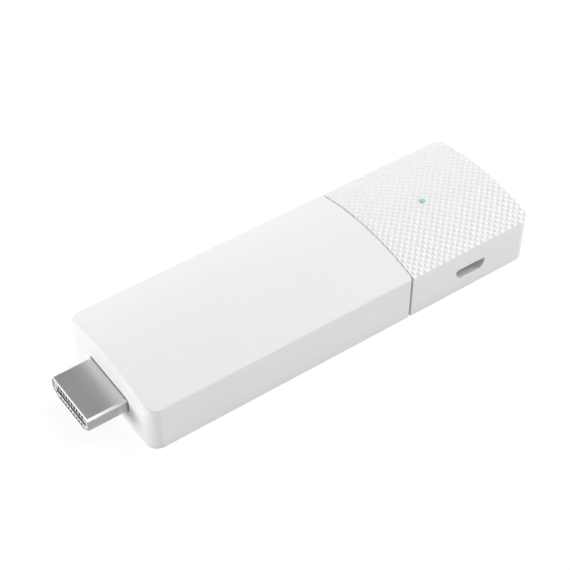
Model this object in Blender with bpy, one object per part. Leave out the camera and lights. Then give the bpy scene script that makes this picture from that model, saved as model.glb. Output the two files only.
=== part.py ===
"""Streaming media stick: a white casing in two sections, a display plug and a power socket.

Everything is measured from the plug end of the casing: x runs back along the stick, y across it, z up from
the table. The empty "stick" carries that frame, and puts the origin under the middle of the whole stick.
"""

import math

import bmesh
import bpy

MM = 0.001

# Casing
BODY_LENGTH = 95.1 * MM
BODY_WIDTH = 31.2 * MM
SIDE_HEIGHT = 11.2 * MM
CROWN_RISE = 2.2 * MM
CORNER_RADIUS = 2.7 * MM
TOP_FILLET = 0.2 * MM
BASE_FILLET = 0.2 * MM
WALL = 1.8 * MM
SKIN = 0.9 * MM
SLIP = 0.15 * MM
SMALLEST_RADIUS = 0.2 * MM

# Joints between the four shells
PART_LINE_HEIGHT = 8.8 * MM
PART_LINE_GAP = 0.12 * MM
LIP_HEIGHT = 1.0 * MM
SEAM_FROM_PLUG_END = 62.96 * MM
SEAM_GAP = 0.34 * MM
SPIGOT_LENGTH = 3.0 * MM

# Snap hooks on the covers and the ledges that they catch
HOOK_LENGTH = 4.0 * MM
HOOK_THICKNESS = 0.8 * MM
BARB = 0.5 * MM
BARB_HEIGHT = 0.6 * MM
LEDGE_DEPTH = 0.6 * MM
LEDGE_HEIGHT = 0.6 * MM
LEDGE_BELOW_RIM = 0.6 * MM
FRONT_HOOKS_FROM_PLUG_END = (16.0 * MM, 36.0 * MM)
FRONT_HOOKS_FROM_SEAM = (7.8 * MM,)
REAR_HOOKS_FROM_SEAM = (11.0 * MM,)
REAR_HOOKS_FROM_REAR_END = (6.8 * MM,)

# Diamond relief on the rear cover
DIAMOND_DIAGONAL = 1.69 * MM
DIAMOND_DEPTH = 0.28 * MM
DIAMONDS_FROM_SEAM = 0.08 * MM

# Display plug
PLUG_WIDTH = 13.9 * MM
PLUG_HEIGHT = 4.45 * MM
PLUG_SIDE_HEIGHT = 3.0 * MM
PLUG_BASE_WIDTH = 9.6 * MM
PLUG_CORNER_RADIUS = 0.5 * MM
PLUG_REACH = 8.9 * MM
PLUG_TOP = 7.25 * MM
PLUG_TAIL = 4.4 * MM
PLUG_SHEET = 0.3 * MM
PLUG_APERTURE_CLEARANCE = 0.35 * MM
PLUG_FOOT_LENGTH = 3.6 * MM
PLUG_FOOT_WIDTH = 1.4 * MM
INSULATOR_RECESS = 0.15 * MM
TONGUE_SLOT_WIDTH = 11.2 * MM
TONGUE_SLOT_HEIGHT = 1.2 * MM
TONGUE_SLOT_DEPTH = 7.8 * MM
TONGUE_SLOT_BELOW_MIDDLE = 0.4 * MM
CONTACT_PITCH = 1.0 * MM
UPPER_CONTACTS = 10
LOWER_CONTACTS = 9
CONTACT_WIDTH = 0.3 * MM
CONTACT_SHEET = 0.15 * MM
CONTACT_CHANNEL_WIDTH = 0.5 * MM
CONTACT_CHANNEL_HEIGHT = 0.68 * MM
CONTACT_WEB = 0.2 * MM
CONTACT_FRONT_RIM = 0.8 * MM
CONTACT_WINDOW_LENGTH = 4.6 * MM
CONTACT_PAD_LENGTH = 2.4 * MM

# Main board and what is soldered to it
FIT = 0.1 * MM
BOARD_THICKNESS = 1.0 * MM
BOARD_WIDTH = 22.6 * MM
BOARD_FRONT = 4.9 * MM
BOARD_REAR_CLEARANCE = 0.8 * MM
PROCESSOR = (14.0 * MM, 14.0 * MM, 1.0 * MM)
MEMORY = (7.5 * MM, 9.0 * MM, 1.0 * MM)
FLASH = (11.5 * MM, 13.0 * MM, 1.0 * MM)
FLASH_FROM_PLUG_END = 36.0 * MM
SHIELD_LENGTH = 30.0 * MM
SHIELD_WIDTH = 20.0 * MM
SHIELD_SHEET = 0.2 * MM
SHIELD_CORNER = 0.8 * MM
SHIELD_FROM_PLUG_END = 14.0 * MM
PROCESSOR_PAD_THICKNESS = 0.5 * MM
SHIELD_PAD_THICKNESS = 0.8 * MM
SPREADER_LENGTH = 44.0 * MM
SPREADER_WIDTH = 19.0 * MM
SPREADER_THICKNESS = 1.0 * MM
SPREADER_FLANGE = 0.9 * MM
WIFI_BOARD = (12.0 * MM, 12.0 * MM, 0.6 * MM)
WIFI_SHIELD_HEIGHT = 1.3 * MM
WIFI_SHIELD_MARGIN = 0.6 * MM
POWER_CHIP = (4.0 * MM, 4.0 * MM, 0.8 * MM)
INDUCTOR = (4.0 * MM, 4.0 * MM, 1.8 * MM)
CRYSTAL = (3.2 * MM, 2.5 * MM, 0.7 * MM)
CAPACITOR = (3.5 * MM, 2.8 * MM, 1.1 * MM)
CAPACITORS_FROM_SEAM = 13.5 * MM
CAPACITORS_ACROSS = 9.6 * MM
LED = (1.6 * MM, 1.2 * MM, 0.6 * MM)
CHIP_CHAMFER = 0.25 * MM
COMPONENT_ROW_GAP = 1.0 * MM

# Antennas at the rear end of the board
ANTENNA_LENGTH = 6.5 * MM
ANTENNA_WIDTH = 5.0 * MM
ANTENNA_HEIGHT = 3.2 * MM
ANTENNA_SHEET = 0.3 * MM
ANTENNA_LEG = 1.4 * MM
ANTENNA_SLOT = 1.2 * MM
ANTENNA_SPACING = 11.0 * MM

# Status light
LIGHT_DIAMETER = 1.1 * MM
LIGHT_FLANGE_DIAMETER = 2.8 * MM
LIGHT_FLANGE_THICKNESS = 0.6 * MM
LIGHT_FROM_SEAM = 14.55 * MM
LIGHT_BELOW_CROWN = 0.03 * MM

# Power socket in the -Y side
USB_FROM_SEAM = 15.7 * MM
USB_WIDTH = 7.5 * MM
USB_HEIGHT = 2.45 * MM
USB_SIDE_HEIGHT = 1.1 * MM
USB_BASE_WIDTH = 5.6 * MM
USB_CORNER_RADIUS = 0.4 * MM
USB_SHEET = 0.3 * MM
USB_DEPTH = 5.0 * MM
USB_APERTURE_CLEARANCE = 0.1 * MM
USB_WING = 0.9 * MM
USB_WING_LENGTH = 1.9 * MM
USB_WING_FROM_BACK = 0.6 * MM
USB_TONGUE_WIDTH = 3.9 * MM
USB_TONGUE_THICKNESS = 0.6 * MM
USB_TONGUE_RECESS = 0.8 * MM
USB_TONGUE_BELOW_ROOF = 0.4 * MM
USB_BLOCK_DEPTH = 1.2 * MM
USB_CONTACTS = 5
USB_CONTACT_PITCH = 0.65 * MM
USB_CONTACT_WIDTH = 0.3 * MM
USB_TAIL_ROOM = 0.7 * MM
USB_PAD_LENGTH = 0.8 * MM

# Screws that hold the board, and the bosses that they go into
SCREW_HEAD_DIAMETER = 3.0 * MM
SCREW_HEAD_HEIGHT = 1.0 * MM
SCREW_HEAD_EDGE = 0.6 * MM
SCREW_HEAD_FLAT = 2.2 * MM
SCREW_DIAMETER = 1.6 * MM
SCREW_BITE = 2.2 * MM
SCREW_CLEARANCE = 0.15 * MM
SCREW_RECESS_DIAMETER = 1.3 * MM
SCREW_RECESS_DEPTH = 0.5 * MM
BOSS_DIAMETER = 4.2 * MM
FRONT_SCREWS_FROM_PLUG_END = 10.6 * MM
REAR_SCREWS_FROM_SEAM = 8.0 * MM
SCREWS_FROM_BOARD_EDGE = 2.1 * MM

# Fineness of curves
CORNER_STEPS = 6
CROWN_STEPS = 24
FILLET_STEPS = 3
ROUND_STEPS = 24
CUT_PAST = 1.0 * MM

# Sizes that follow from those above
HALF_WIDTH = BODY_WIDTH / 2
CROWN_RADIUS = (HALF_WIDTH**2 + CROWN_RISE**2) / (2 * CROWN_RISE)
CROWN_CENTRE = SIDE_HEIGHT + CROWN_RISE - CROWN_RADIUS
INNER = SKIN + SLIP
RIM = PART_LINE_HEIGHT + PART_LINE_GAP
LIP_TOP = PART_LINE_HEIGHT + LIP_HEIGHT
REBATE_TOP = LIP_TOP + SLIP
REAR_START = SEAM_FROM_PLUG_END + SEAM_GAP
SPIGOT_END = REAR_START + SPIGOT_LENGTH
PLUG_MIDDLE = PLUG_TOP - PLUG_HEIGHT / 2
SLOT_MIDDLE = PLUG_MIDDLE - TONGUE_SLOT_BELOW_MIDDLE
BOARD_MIDDLE = PLUG_MIDDLE
BOARD_TOP = BOARD_MIDDLE + BOARD_THICKNESS / 2
BOARD_BOTTOM = BOARD_MIDDLE - BOARD_THICKNESS / 2
BOARD_REAR = BODY_LENGTH - WALL - BOARD_REAR_CLEARANCE
SOLDERED = BOARD_TOP + FIT
SHIELD_TOP = SOLDERED + PROCESSOR[2] + FIT + PROCESSOR_PAD_THICKNESS + FIT + SHIELD_SHEET
PLUG_TIP = -PLUG_REACH
USB_MOUTH = -HALF_WIDTH + WALL + FIT
USB_BACK = USB_MOUTH + USB_DEPTH
USB_TOP = BOARD_MIDDLE + USB_HEIGHT / 2
PLUG_SIZES = PLUG_WIDTH, PLUG_TOP, PLUG_HEIGHT, PLUG_SIDE_HEIGHT, PLUG_BASE_WIDTH, PLUG_CORNER_RADIUS
USB_SIZES = USB_WIDTH, USB_TOP, USB_HEIGHT, USB_SIDE_HEIGHT, USB_BASE_WIDTH, USB_CORNER_RADIUS
SCREW_ACROSS = BOARD_WIDTH / 2 - SCREWS_FROM_BOARD_EDGE
REAR_SCREWS_FROM_PLUG_END = REAR_START + REAR_SCREWS_FROM_SEAM
LIGHT_FROM_PLUG_END = REAR_START + LIGHT_FROM_SEAM
USB_FROM_PLUG_END = REAR_START + USB_FROM_SEAM
FRONT_HOOKS = [*FRONT_HOOKS_FROM_PLUG_END, *(SEAM_FROM_PLUG_END - x for x in FRONT_HOOKS_FROM_SEAM)]
REAR_HOOKS = [REAR_START + x for x in REAR_HOOKS_FROM_SEAM]
REAR_HOOKS += [BODY_LENGTH - x for x in REAR_HOOKS_FROM_REAR_END]


def clear_scene():
    for old in list(bpy.data.objects):
        bpy.data.objects.remove(old)


def stick_frame():
    """The empty at the middle of the casing's plug end, which carries every piece."""
    frame = bpy.data.objects.new("stick", None)
    frame.location.x = (PLUG_REACH - BODY_LENGTH) / 2
    bpy.context.scene.collection.objects.link(frame)
    return frame


def finish(name, colour, roughness, metallic=0.0):
    """A plain Principled material."""
    made = bpy.data.materials.new(name)
    made.use_nodes = True
    shader = made.node_tree.nodes["Principled BSDF"]
    shader.inputs["Base Color"].default_value = (*colour, 1.0)
    shader.inputs["Roughness"].default_value = roughness
    shader.inputs["Metallic"].default_value = metallic
    return made


# Shapes


def piece(name, shape, material=None):
    """An object made from a bmesh, carried by the stick's frame."""
    bmesh.ops.recalc_face_normals(shape, faces=shape.faces)
    mesh = bpy.data.meshes.new(name)
    shape.to_mesh(mesh)
    shape.free()
    made = bpy.data.objects.new(name, mesh)
    made.parent = STICK
    bpy.context.scene.collection.objects.link(made)
    if material:
        mesh.materials.append(material)
    return made


def combine(target, tool, operation):
    """Cuts target by tool, joins the two or keeps what they share, and drops the tool."""
    step = target.modifiers.new(operation, "BOOLEAN")
    step.operation = operation
    step.solver = "EXACT"
    step.object = tool
    bpy.context.view_layer.update()
    graph = bpy.context.evaluated_depsgraph_get()
    result = bpy.data.meshes.new_from_object(target.evaluated_get(graph))
    target.modifiers.remove(step)
    target.data = result
    bpy.data.objects.remove(tool)


def cut(target, tool):
    combine(target, tool, "DIFFERENCE")


def join(target, tool):
    combine(target, tool, "UNION")


def smooth(made, degrees=35):
    made.data.shade_smooth()
    made.data.set_sharp_from_angle(angle=math.radians(degrees))
    return made


def prism(outline, low, high, axis="z"):
    """An outline pushed from low to high along an axis. It lies in xy, in xz along y, or in yz along x."""
    place = {
        "x": lambda a, b, t: (t, a, b),
        "y": lambda a, b, t: (a, t, b),
        "z": lambda a, b, t: (a, b, t),
    }[axis]
    shape = bmesh.new()
    ends = [[shape.verts.new(place(a, b, t)) for a, b in outline] for t in (low, high)]
    for end in ends:
        shape.faces.new(end)
    for i in range(len(outline)):
        j = (i + 1) % len(outline)
        shape.faces.new((ends[0][i], ends[0][j], ends[1][j], ends[1][i]))
    return shape


def block(x, y, z):
    """A box from three (low, high) pairs."""
    return prism(((x[0], y[0]), (x[1], y[0]), (x[1], y[1]), (x[0], y[1])), *z)


def circle(x, y, diameter):
    turns = [2 * math.pi * k / ROUND_STEPS for k in range(ROUND_STEPS)]
    return [(x + diameter / 2 * math.cos(t), y + diameter / 2 * math.sin(t)) for t in turns]


def rod(x, y, diameter, z):
    """An upright round bar from z[0] to z[1]."""
    return prism(circle(x, y, diameter), *z)


def turned(x, y, profile):
    """A solid revolved about an upright axis, from a (radius, z) profile that starts and ends on the axis."""
    shape = bmesh.new()
    rings = []
    for radius, z in profile[1:-1]:
        rings.append([shape.verts.new((px, py, z)) for px, py in circle(x, y, 2 * radius)])
    for lower, upper in zip(rings, rings[1:]):
        for i in range(ROUND_STEPS):
            j = (i + 1) % ROUND_STEPS
            shape.faces.new((lower[i], lower[j], upper[j], upper[i]))
    for ring in (rings[0], rings[-1]):
        shape.faces.new(ring)
    return shape


def strip(line, sheet):
    """The outline of a bent sheet of even thickness, mitred at its bends. Its middle follows the line."""
    headings = []
    for (ax, az), (bx, bz) in zip(line, line[1:]):
        length = math.hypot(bx - ax, bz - az)
        headings.append(((bx - ax) / length, (bz - az) / length))
    left, right = [], []
    for (x, z), before, after in zip(line, headings[:1] + headings, headings + headings[-1:]):
        # The mitre lies along the sum of the two runs' normals.
        normal_x, normal_z = -before[1] - after[1], before[0] + after[0]
        reach = sheet / (1 + before[0] * after[0] + before[1] * after[1]) / 2
        left.append((x + normal_x * reach, z + normal_z * reach))
        right.append((x - normal_x * reach, z - normal_z * reach))
    return left + right[::-1]


def rounded_corner(centre, radius, start, steps=CORNER_STEPS):
    """A quarter circle from the angle start, in degrees, anticlockwise."""
    angles = [math.radians(start + 90 * k / steps) for k in range(steps + 1)]
    return [(centre[0] + radius * math.cos(a), centre[1] + radius * math.sin(a)) for a in angles]


def rounded_box(x, y, radius, z):
    """An upright box with four rounded corners."""
    outline = []
    for corner_x, corner_y, start in (
        (x[1] - radius, y[1] - radius, 0),
        (x[0] + radius, y[1] - radius, 90),
        (x[0] + radius, y[0] + radius, 180),
        (x[1] - radius, y[0] + radius, 270),
    ):
        outline += rounded_corner((corner_x, corner_y), radius, start, CORNER_STEPS // 2)
    return prism(outline, *z)


def plug_outline(width, top, height, side_height, base_width, radius, grow=0.0):
    """The D of a plug or socket, grown all round: flat top, upright sides and slanted lower corners."""
    half = width / 2 + grow
    high = top + grow
    low = top - height - grow
    # The slant stays parallel to itself as the outline grows, so its two ends move by the mitres there.
    run, fall = (width - base_width) / 2, height - side_height
    slant = math.hypot(run, fall)
    side_end = top - side_height - grow * (slant - run) / fall
    base_half = base_width / 2 + grow * (slant - fall) / run
    corner = max(radius + grow, SMALLEST_RADIUS)
    right = rounded_corner((half - corner, high - corner), corner, 0, CORNER_STEPS // 2)
    left = rounded_corner((corner - half, high - corner), corner, 90, CORNER_STEPS // 2)
    return [*right, *left, (-half, side_end), (-base_half, low), (base_half, low), (half, side_end)]


# The casing's own form


def arch(y, depth=0.0):
    """Height of the crowned top at y, or of the arch that lies depth below it."""
    return CROWN_CENTRE + math.sqrt((CROWN_RADIUS - depth) ** 2 - y**2)


def end_chain(x, half_width, radius, inward):
    """A rounded end seen from above, from -Y to +Y. inward is the x sign into the casing."""
    radius = max(radius, SMALLEST_RADIUS)
    straight = half_width - radius
    corner = []
    for k in range(CORNER_STEPS + 1):
        angle = math.pi / 2 * k / CORNER_STEPS
        corner.append((radius * (1 - math.sin(angle)), straight + radius * math.cos(angle)))
    low = [(x + inward * back, -y) for back, y in corner]
    high = [(x + inward * back, y) for back, y in reversed(corner)]
    middle = [(x, straight * (2 * k / CROWN_STEPS - 1)) for k in range(1, CROWN_STEPS)]
    return low + middle + high


def casing_outline(front, rear, inset, round_front=False, round_rear=False):
    """The two ends of the casing's outline, inset from its sides. A square end keeps the round y levels."""
    radius = CORNER_RADIUS - inset
    half_width = HALF_WIDTH - inset
    ends = end_chain(front, half_width, radius, 1), end_chain(rear, half_width, radius, -1)
    if not round_front:
        ends = [(front, y) for _, y in ends[0]], ends[1]
    if not round_rear:
        ends = ends[0], [(rear, y) for _, y in ends[1]]
    return ends


def loft(rings):
    """Skins a stack of (outline, height) rings. An outline is two ends, and height is a function of y."""
    shape = bmesh.new()
    rows = []
    for (front, rear), height in rings:
        rows.append([[shape.verts.new((x, y, height(y))) for x, y in end] for end in (front, rear)])
    for lower, upper in zip(rows, rows[1:]):
        below = lower[0] + lower[1][::-1]
        above = upper[0] + upper[1][::-1]
        for i in range(len(below)):
            j = (i + 1) % len(below)
            shape.faces.new((below[i], below[j], above[j], above[i]))
    for front, rear in (rows[0], rows[-1]):
        for i in range(len(front) - 1):
            shape.faces.new((front[i], front[i + 1], rear[i + 1], rear[i]))
    return shape


def level(z):
    return lambda y: z


def crowned(drop=0.0, depth=0.0):
    return lambda y: arch(y, depth) - drop


def arched_block(front, rear, inset, low, round_front=False, round_rear=False):
    """The casing's inside at an inset: upright walls under an arch of the same inset."""
    outline = casing_outline(front, rear, inset, round_front, round_rear)
    return loft([(outline, level(low)), (outline, crowned(depth=inset))])


def flat_block(front, rear, inset, z, round_front=False, round_rear=False):
    outline = casing_outline(front, rear, inset, round_front, round_rear)
    return loft([(outline, level(z[0])), (outline, level(z[1]))])


def tray(front, rear, round_front=False, round_rear=False):
    """The outside of a lower shell, with its base edge rounded except at the seam."""
    rings = []
    for k in range(FILLET_STEPS + 1):
        angle = math.pi / 2 * k / FILLET_STEPS
        inset = BASE_FILLET * (1 - math.sin(angle))
        ends = front + inset * round_front, rear - inset * round_rear
        outline = casing_outline(*ends, inset, round_front, round_rear)
        rings.append((outline, level(BASE_FILLET * (1 - math.cos(angle)))))
    rings.append((casing_outline(front, rear, 0.0, round_front, round_rear), level(PART_LINE_HEIGHT)))
    return loft(rings)


def crowned_lid(front, rear):
    """The outside of the smooth cover, with its top edge rounded except at the seam."""
    rings = [(casing_outline(front, rear, 0.0, round_front=True), level(RIM))]
    for k in range(FILLET_STEPS + 1):
        angle = math.pi / 2 * k / FILLET_STEPS
        inset = TOP_FILLET * (1 - math.cos(angle))
        outline = casing_outline(front + inset, rear, inset, round_front=True)
        rings.append((outline, crowned(drop=TOP_FILLET * (1 - math.sin(angle)))))
    return loft(rings)


def diamond_block(front, rear, low):
    """A block wider than the cover, whose arched top is a field of four-sided points set cornerwise.

    The first row of points that has one on the middle line is set DIAMONDS_FROM_SEAM behind the front.
    """
    half = DIAMOND_DIAGONAL / 2
    first = front + DIAMONDS_FROM_SEAM
    x_steps = range(math.floor((front - first) / half) - 1, math.ceil((rear - first) / half) + 2)
    reach = math.ceil(HALF_WIDTH / half) + 1
    y_steps = range(-reach, reach + 1)
    shape = bmesh.new()
    top, base = {}, {}
    for i in x_steps:
        for j in y_steps:
            x, y = first + i * half, j * half
            sunk = DIAMOND_DEPTH * ((i + j) % 2)
            top[i, j] = shape.verts.new((x, y, arch(y, sunk)))
            if i in (x_steps[0], x_steps[-1]) or j in (y_steps[0], y_steps[-1]):
                base[i, j] = shape.verts.new((x, y, low))
    for i in x_steps[:-1]:
        for j in y_steps[:-1]:
            corners = [top[i, j], top[i + 1, j], top[i + 1, j + 1], top[i, j + 1]]
            # Each cell folds along the line between its two low corners.
            turn = 1 if (i + j) % 2 == 0 else 0
            a, b, c, d = corners[turn:] + corners[:turn]
            shape.faces.new((a, b, c))
            shape.faces.new((a, c, d))
    around = [(i, y_steps[0]) for i in x_steps[:-1]]
    around += [(x_steps[-1], j) for j in y_steps[:-1]]
    around += [(i, y_steps[-1]) for i in reversed(x_steps[1:])]
    around += [(x_steps[0], j) for j in reversed(y_steps[1:])]
    for here, there in zip(around, around[1:] + around[:1]):
        shape.faces.new((base[here], base[there], top[there], top[here]))
    shape.faces.new([base[here] for here in around])
    return shape


# Features that the shells share


def hook_levels():
    """Heights of a ledge, top and base, and of the barb that catches under it."""
    ledge_top = PART_LINE_HEIGHT - LEDGE_BELOW_RIM
    ledge_base = ledge_top - LEDGE_HEIGHT
    barb_top = ledge_base - SLIP
    return ledge_top, ledge_base, barb_top, barb_top - BARB_HEIGHT


def across(side, inset_low, inset_high):
    """A (low, high) pair in y between two insets from the wall on one side."""
    ends = side * (HALF_WIDTH - inset_low), side * (HALF_WIDTH - inset_high)
    return min(ends), max(ends)


def add_ledges(case, places):
    """Ledges on a case's two side walls."""
    ledge_top, ledge_base, _, _ = hook_levels()
    for x in places:
        for side in (-1, 1):
            span = across(side, SKIN, WALL + LEDGE_DEPTH)
            ends = x - HOOK_LENGTH / 2, x + HOOK_LENGTH / 2
            join(case, piece("ledge", block(ends, span, (ledge_base, ledge_top))))


def add_hooks(cover, places):
    """Hooks that hang from a cover's roof, each with a barb turned out under its ledge."""
    _, _, barb_top, barb_base = hook_levels()
    face = WALL + LEDGE_DEPTH + SLIP
    back = face + HOOK_THICKNESS
    for x in places:
        for side in (-1, 1):
            root = arch(HALF_WIDTH - face, WALL) + WALL / 2
            outline = [
                (side * (HALF_WIDTH - back), barb_base),
                (side * (HALF_WIDTH - face), barb_base),
                (side * (HALF_WIDTH - face + BARB), barb_base + BARB_HEIGHT / 2),
                (side * (HALF_WIDTH - face + BARB), barb_top),
                (side * (HALF_WIDTH - face), barb_top),
                (side * (HALF_WIDTH - face), root),
                (side * (HALF_WIDTH - back), root),
            ]
            ends = x - HOOK_LENGTH / 2 + SLIP, x + HOOK_LENGTH / 2 - SLIP
            join(cover, piece("hook", prism(outline, *ends, axis="x")))


def add_bosses(case, x):
    """Two posts on a case's floor that the board rests on, each with a pilot hole for its screw."""
    for side in (-1, 1):
        y = side * SCREW_ACROSS
        join(case, piece("boss", rod(x, y, BOSS_DIAMETER, (WALL - SKIN / 2, BOARD_BOTTOM - FIT))))
        hole = SCREW_DIAMETER + 2 * SCREW_CLEARANCE
        depth = BOARD_BOTTOM - SCREW_BITE - SCREW_CLEARANCE
        cut(case, piece("pilot", rod(x, y, hole, (depth, BOARD_BOTTOM + CUT_PAST))))


# The four shells


def make_front_case(white):
    """The lower shell at the plug end, with a lip for its cover and a spigot for the rear case."""
    case = piece("front_case", tray(0.0, SEAM_FROM_PLUG_END, round_front=True), white)
    inner = INNER, SPIGOT_END - SLIP, INNER, (INNER, LIP_TOP)
    join(case, piece("lip", flat_block(*inner, round_front=True)))
    inside = WALL, SPIGOT_END + CUT_PAST, WALL, (WALL, LIP_TOP + CUT_PAST)
    cut(case, piece("inside", flat_block(*inside, round_front=True)))
    aperture = plug_outline(*PLUG_SIZES, grow=PLUG_APERTURE_CLEARANCE)
    cut(case, piece("aperture", prism(aperture, -CUT_PAST, WALL + CUT_PAST, axis="x")))
    add_ledges(case, FRONT_HOOKS)
    add_bosses(case, FRONT_SCREWS_FROM_PLUG_END)
    return smooth(case)


def make_front_cover(white):
    """The smooth crowned lid, whose roof runs on under the rear cover as a spigot."""
    cover = piece("front_cover", crowned_lid(0.0, SEAM_FROM_PLUG_END), white)
    spigot = SEAM_FROM_PLUG_END - WALL, SPIGOT_END - SLIP, INNER, REBATE_TOP + FIT
    join(cover, piece("spigot", arched_block(*spigot)))
    inside = WALL, SPIGOT_END + CUT_PAST, WALL, RIM - CUT_PAST
    cut(cover, piece("inside", arched_block(*inside, round_front=True)))
    rebate = SKIN, SPIGOT_END + CUT_PAST, SKIN, (RIM - CUT_PAST, REBATE_TOP)
    cut(cover, piece("rebate", flat_block(*rebate, round_front=True)))
    add_hooks(cover, FRONT_HOOKS)
    return smooth(cover)


def make_rear_case(white):
    """The lower shell at the far end, which slides over the spigot and holds the power socket's opening."""
    case = piece("rear_case", tray(REAR_START, BODY_LENGTH, round_rear=True), white)
    inner = SPIGOT_END + SLIP, BODY_LENGTH - INNER, INNER, (INNER, LIP_TOP)
    join(case, piece("lip", flat_block(*inner, round_rear=True)))
    inside = REAR_START - CUT_PAST, BODY_LENGTH - WALL, WALL, (WALL, LIP_TOP + CUT_PAST)
    cut(case, piece("inside", flat_block(*inside, round_rear=True)))
    pocket = REAR_START - CUT_PAST, SPIGOT_END, SKIN, (SKIN, LIP_TOP + CUT_PAST)
    cut(case, piece("pocket", flat_block(*pocket)))
    wall = -HALF_WIDTH - CUT_PAST, -HALF_WIDTH + WALL + CUT_PAST
    cut(case, piece("opening", prism(usb_outline(USB_APERTURE_CLEARANCE), *wall, axis="y")))
    add_ledges(case, REAR_HOOKS)
    add_bosses(case, REAR_SCREWS_FROM_PLUG_END)
    return smooth(case)


def make_rear_cover(white):
    """The lid with the diamond relief, with a hole for the status light."""
    cover = piece("rear_cover", diamond_block(REAR_START, BODY_LENGTH, RIM - CUT_PAST), white)
    plan = REAR_START, BODY_LENGTH, 0.0, (RIM, SIDE_HEIGHT + CROWN_RISE + CUT_PAST)
    combine(cover, piece("plan", flat_block(*plan, round_rear=True)), "INTERSECT")
    inside = REAR_START - CUT_PAST, BODY_LENGTH - WALL, WALL, RIM - CUT_PAST
    cut(cover, piece("inside", arched_block(*inside, round_rear=True)))
    pocket = REAR_START - CUT_PAST, SPIGOT_END, SKIN, RIM - CUT_PAST
    cut(cover, piece("pocket", arched_block(*pocket)))
    rebate = REAR_START - CUT_PAST, BODY_LENGTH - SKIN, SKIN, (RIM - CUT_PAST, REBATE_TOP)
    cut(cover, piece("rebate", flat_block(*rebate, round_rear=True)))
    hole = LIGHT_DIAMETER + 2 * FIT, (RIM, SIDE_HEIGHT + CROWN_RISE + CUT_PAST)
    cut(cover, piece("light_hole", rod(LIGHT_FROM_PLUG_END, 0.0, *hole)))
    add_hooks(cover, REAR_HOOKS)
    return cover


def make_light_pipe(teal):
    """The clear rod that carries the light up from the board, seated by a flange under the roof."""
    top = arch(0.0) - LIGHT_BELOW_CROWN
    flange_top = arch(0.0, WALL) - FIT
    flange_base = flange_top - LIGHT_FLANGE_THICKNESS
    base = SOLDERED + LED[2] + FIT
    thin, wide = LIGHT_DIAMETER / 2, LIGHT_FLANGE_DIAMETER / 2
    profile = [(0, base), (thin, base), (thin, flange_base), (wide, flange_base)]
    profile += [(wide, flange_top), (thin, flange_top), (thin, top), (0, top)]
    return smooth(piece("light_pipe", turned(LIGHT_FROM_PLUG_END, 0.0, profile), teal))


# The display plug


def make_plug_shell(steel):
    """The drawn steel tube, with two feet that are soldered to the board."""
    shell = piece("plug_shell", prism(plug_outline(*PLUG_SIZES), PLUG_TIP, PLUG_TAIL, axis="x"), steel)
    bore = plug_outline(*PLUG_SIZES, grow=-PLUG_SHEET)
    cut(shell, piece("bore", prism(bore, PLUG_TIP - CUT_PAST, PLUG_TAIL + CUT_PAST, axis="x")))
    for side in (-1, 1):
        outer = side * PLUG_WIDTH / 2
        inner = outer - side * PLUG_SHEET
        toe = outer - side * PLUG_FOOT_WIDTH
        sole, ankle = SOLDERED, SOLDERED + PLUG_SHEET
        cheek = PLUG_TOP - PLUG_CORNER_RADIUS - FIT
        foot_start, foot_end = PLUG_TAIL - PLUG_SHEET, PLUG_TAIL + PLUG_FOOT_LENGTH
        # The side runs back past the tube and folds in over the board.
        outline = [(outer, sole), (toe, sole), (toe, ankle), (inner, ankle), (inner, cheek), (outer, cheek)]
        foot = piece("foot", prism(outline, PLUG_TAIL + FIT, foot_end, axis="x"))
        strap = [(outer, sole), (inner, sole), (inner, cheek), (outer, cheek)]
        join(foot, piece("strap", prism(strap, foot_start - PLUG_SHEET, PLUG_TAIL + PLUG_SHEET, axis="x")))
        join(shell, foot)
    return smooth(shell)


def contact_places(count):
    """y of each contact in a row of count, middle out."""
    return [(k - (count - 1) / 2) * CONTACT_PITCH for k in range(count)]


def contact_rows():
    """Each row's name, direction from the slot's middle plane, and places."""
    return (
        ("upper", 1, contact_places(UPPER_CONTACTS)),
        ("lower", -1, contact_places(LOWER_CONTACTS)),
    )


def make_plug_insulator(grey):
    """The moulded block inside the tube: a slot for the mating tongue and a channel for each contact."""
    front = PLUG_TIP + INSULATOR_RECESS
    body = plug_outline(*PLUG_SIZES, grow=-PLUG_SHEET - FIT)
    insulator = piece("plug_insulator", prism(body, front, PLUG_TAIL, axis="x"), grey)
    half_slot = TONGUE_SLOT_HEIGHT / 2
    slot = block(
        (front - CUT_PAST, front + TONGUE_SLOT_DEPTH),
        (-TONGUE_SLOT_WIDTH / 2, TONGUE_SLOT_WIDTH / 2),
        (SLOT_MIDDLE - half_slot, SLOT_MIDDLE + half_slot),
    )
    cut(insulator, piece("tongue_slot", slot))
    web = half_slot + CONTACT_WEB
    roof = web + CONTACT_CHANNEL_HEIGHT
    rim = front + CONTACT_FRONT_RIM
    window_end = rim + CONTACT_WINDOW_LENGTH
    for _, up, places in contact_rows():
        outline = [
            (front - CUT_PAST, web),
            (rim, web),
            (rim, half_slot - CONTACT_WEB),
            (window_end, half_slot - CONTACT_WEB),
            (window_end, web),
            (PLUG_TAIL + CUT_PAST, web),
            (PLUG_TAIL + CUT_PAST, roof),
            (front - CUT_PAST, roof),
        ]
        outline = [(x, SLOT_MIDDLE + up * z) for x, z in outline]
        for y in places:
            sides = y - CONTACT_CHANNEL_WIDTH / 2, y + CONTACT_CHANNEL_WIDTH / 2
            cut(insulator, piece("channel", prism(outline, *sides, axis="y")))
    return insulator


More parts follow.
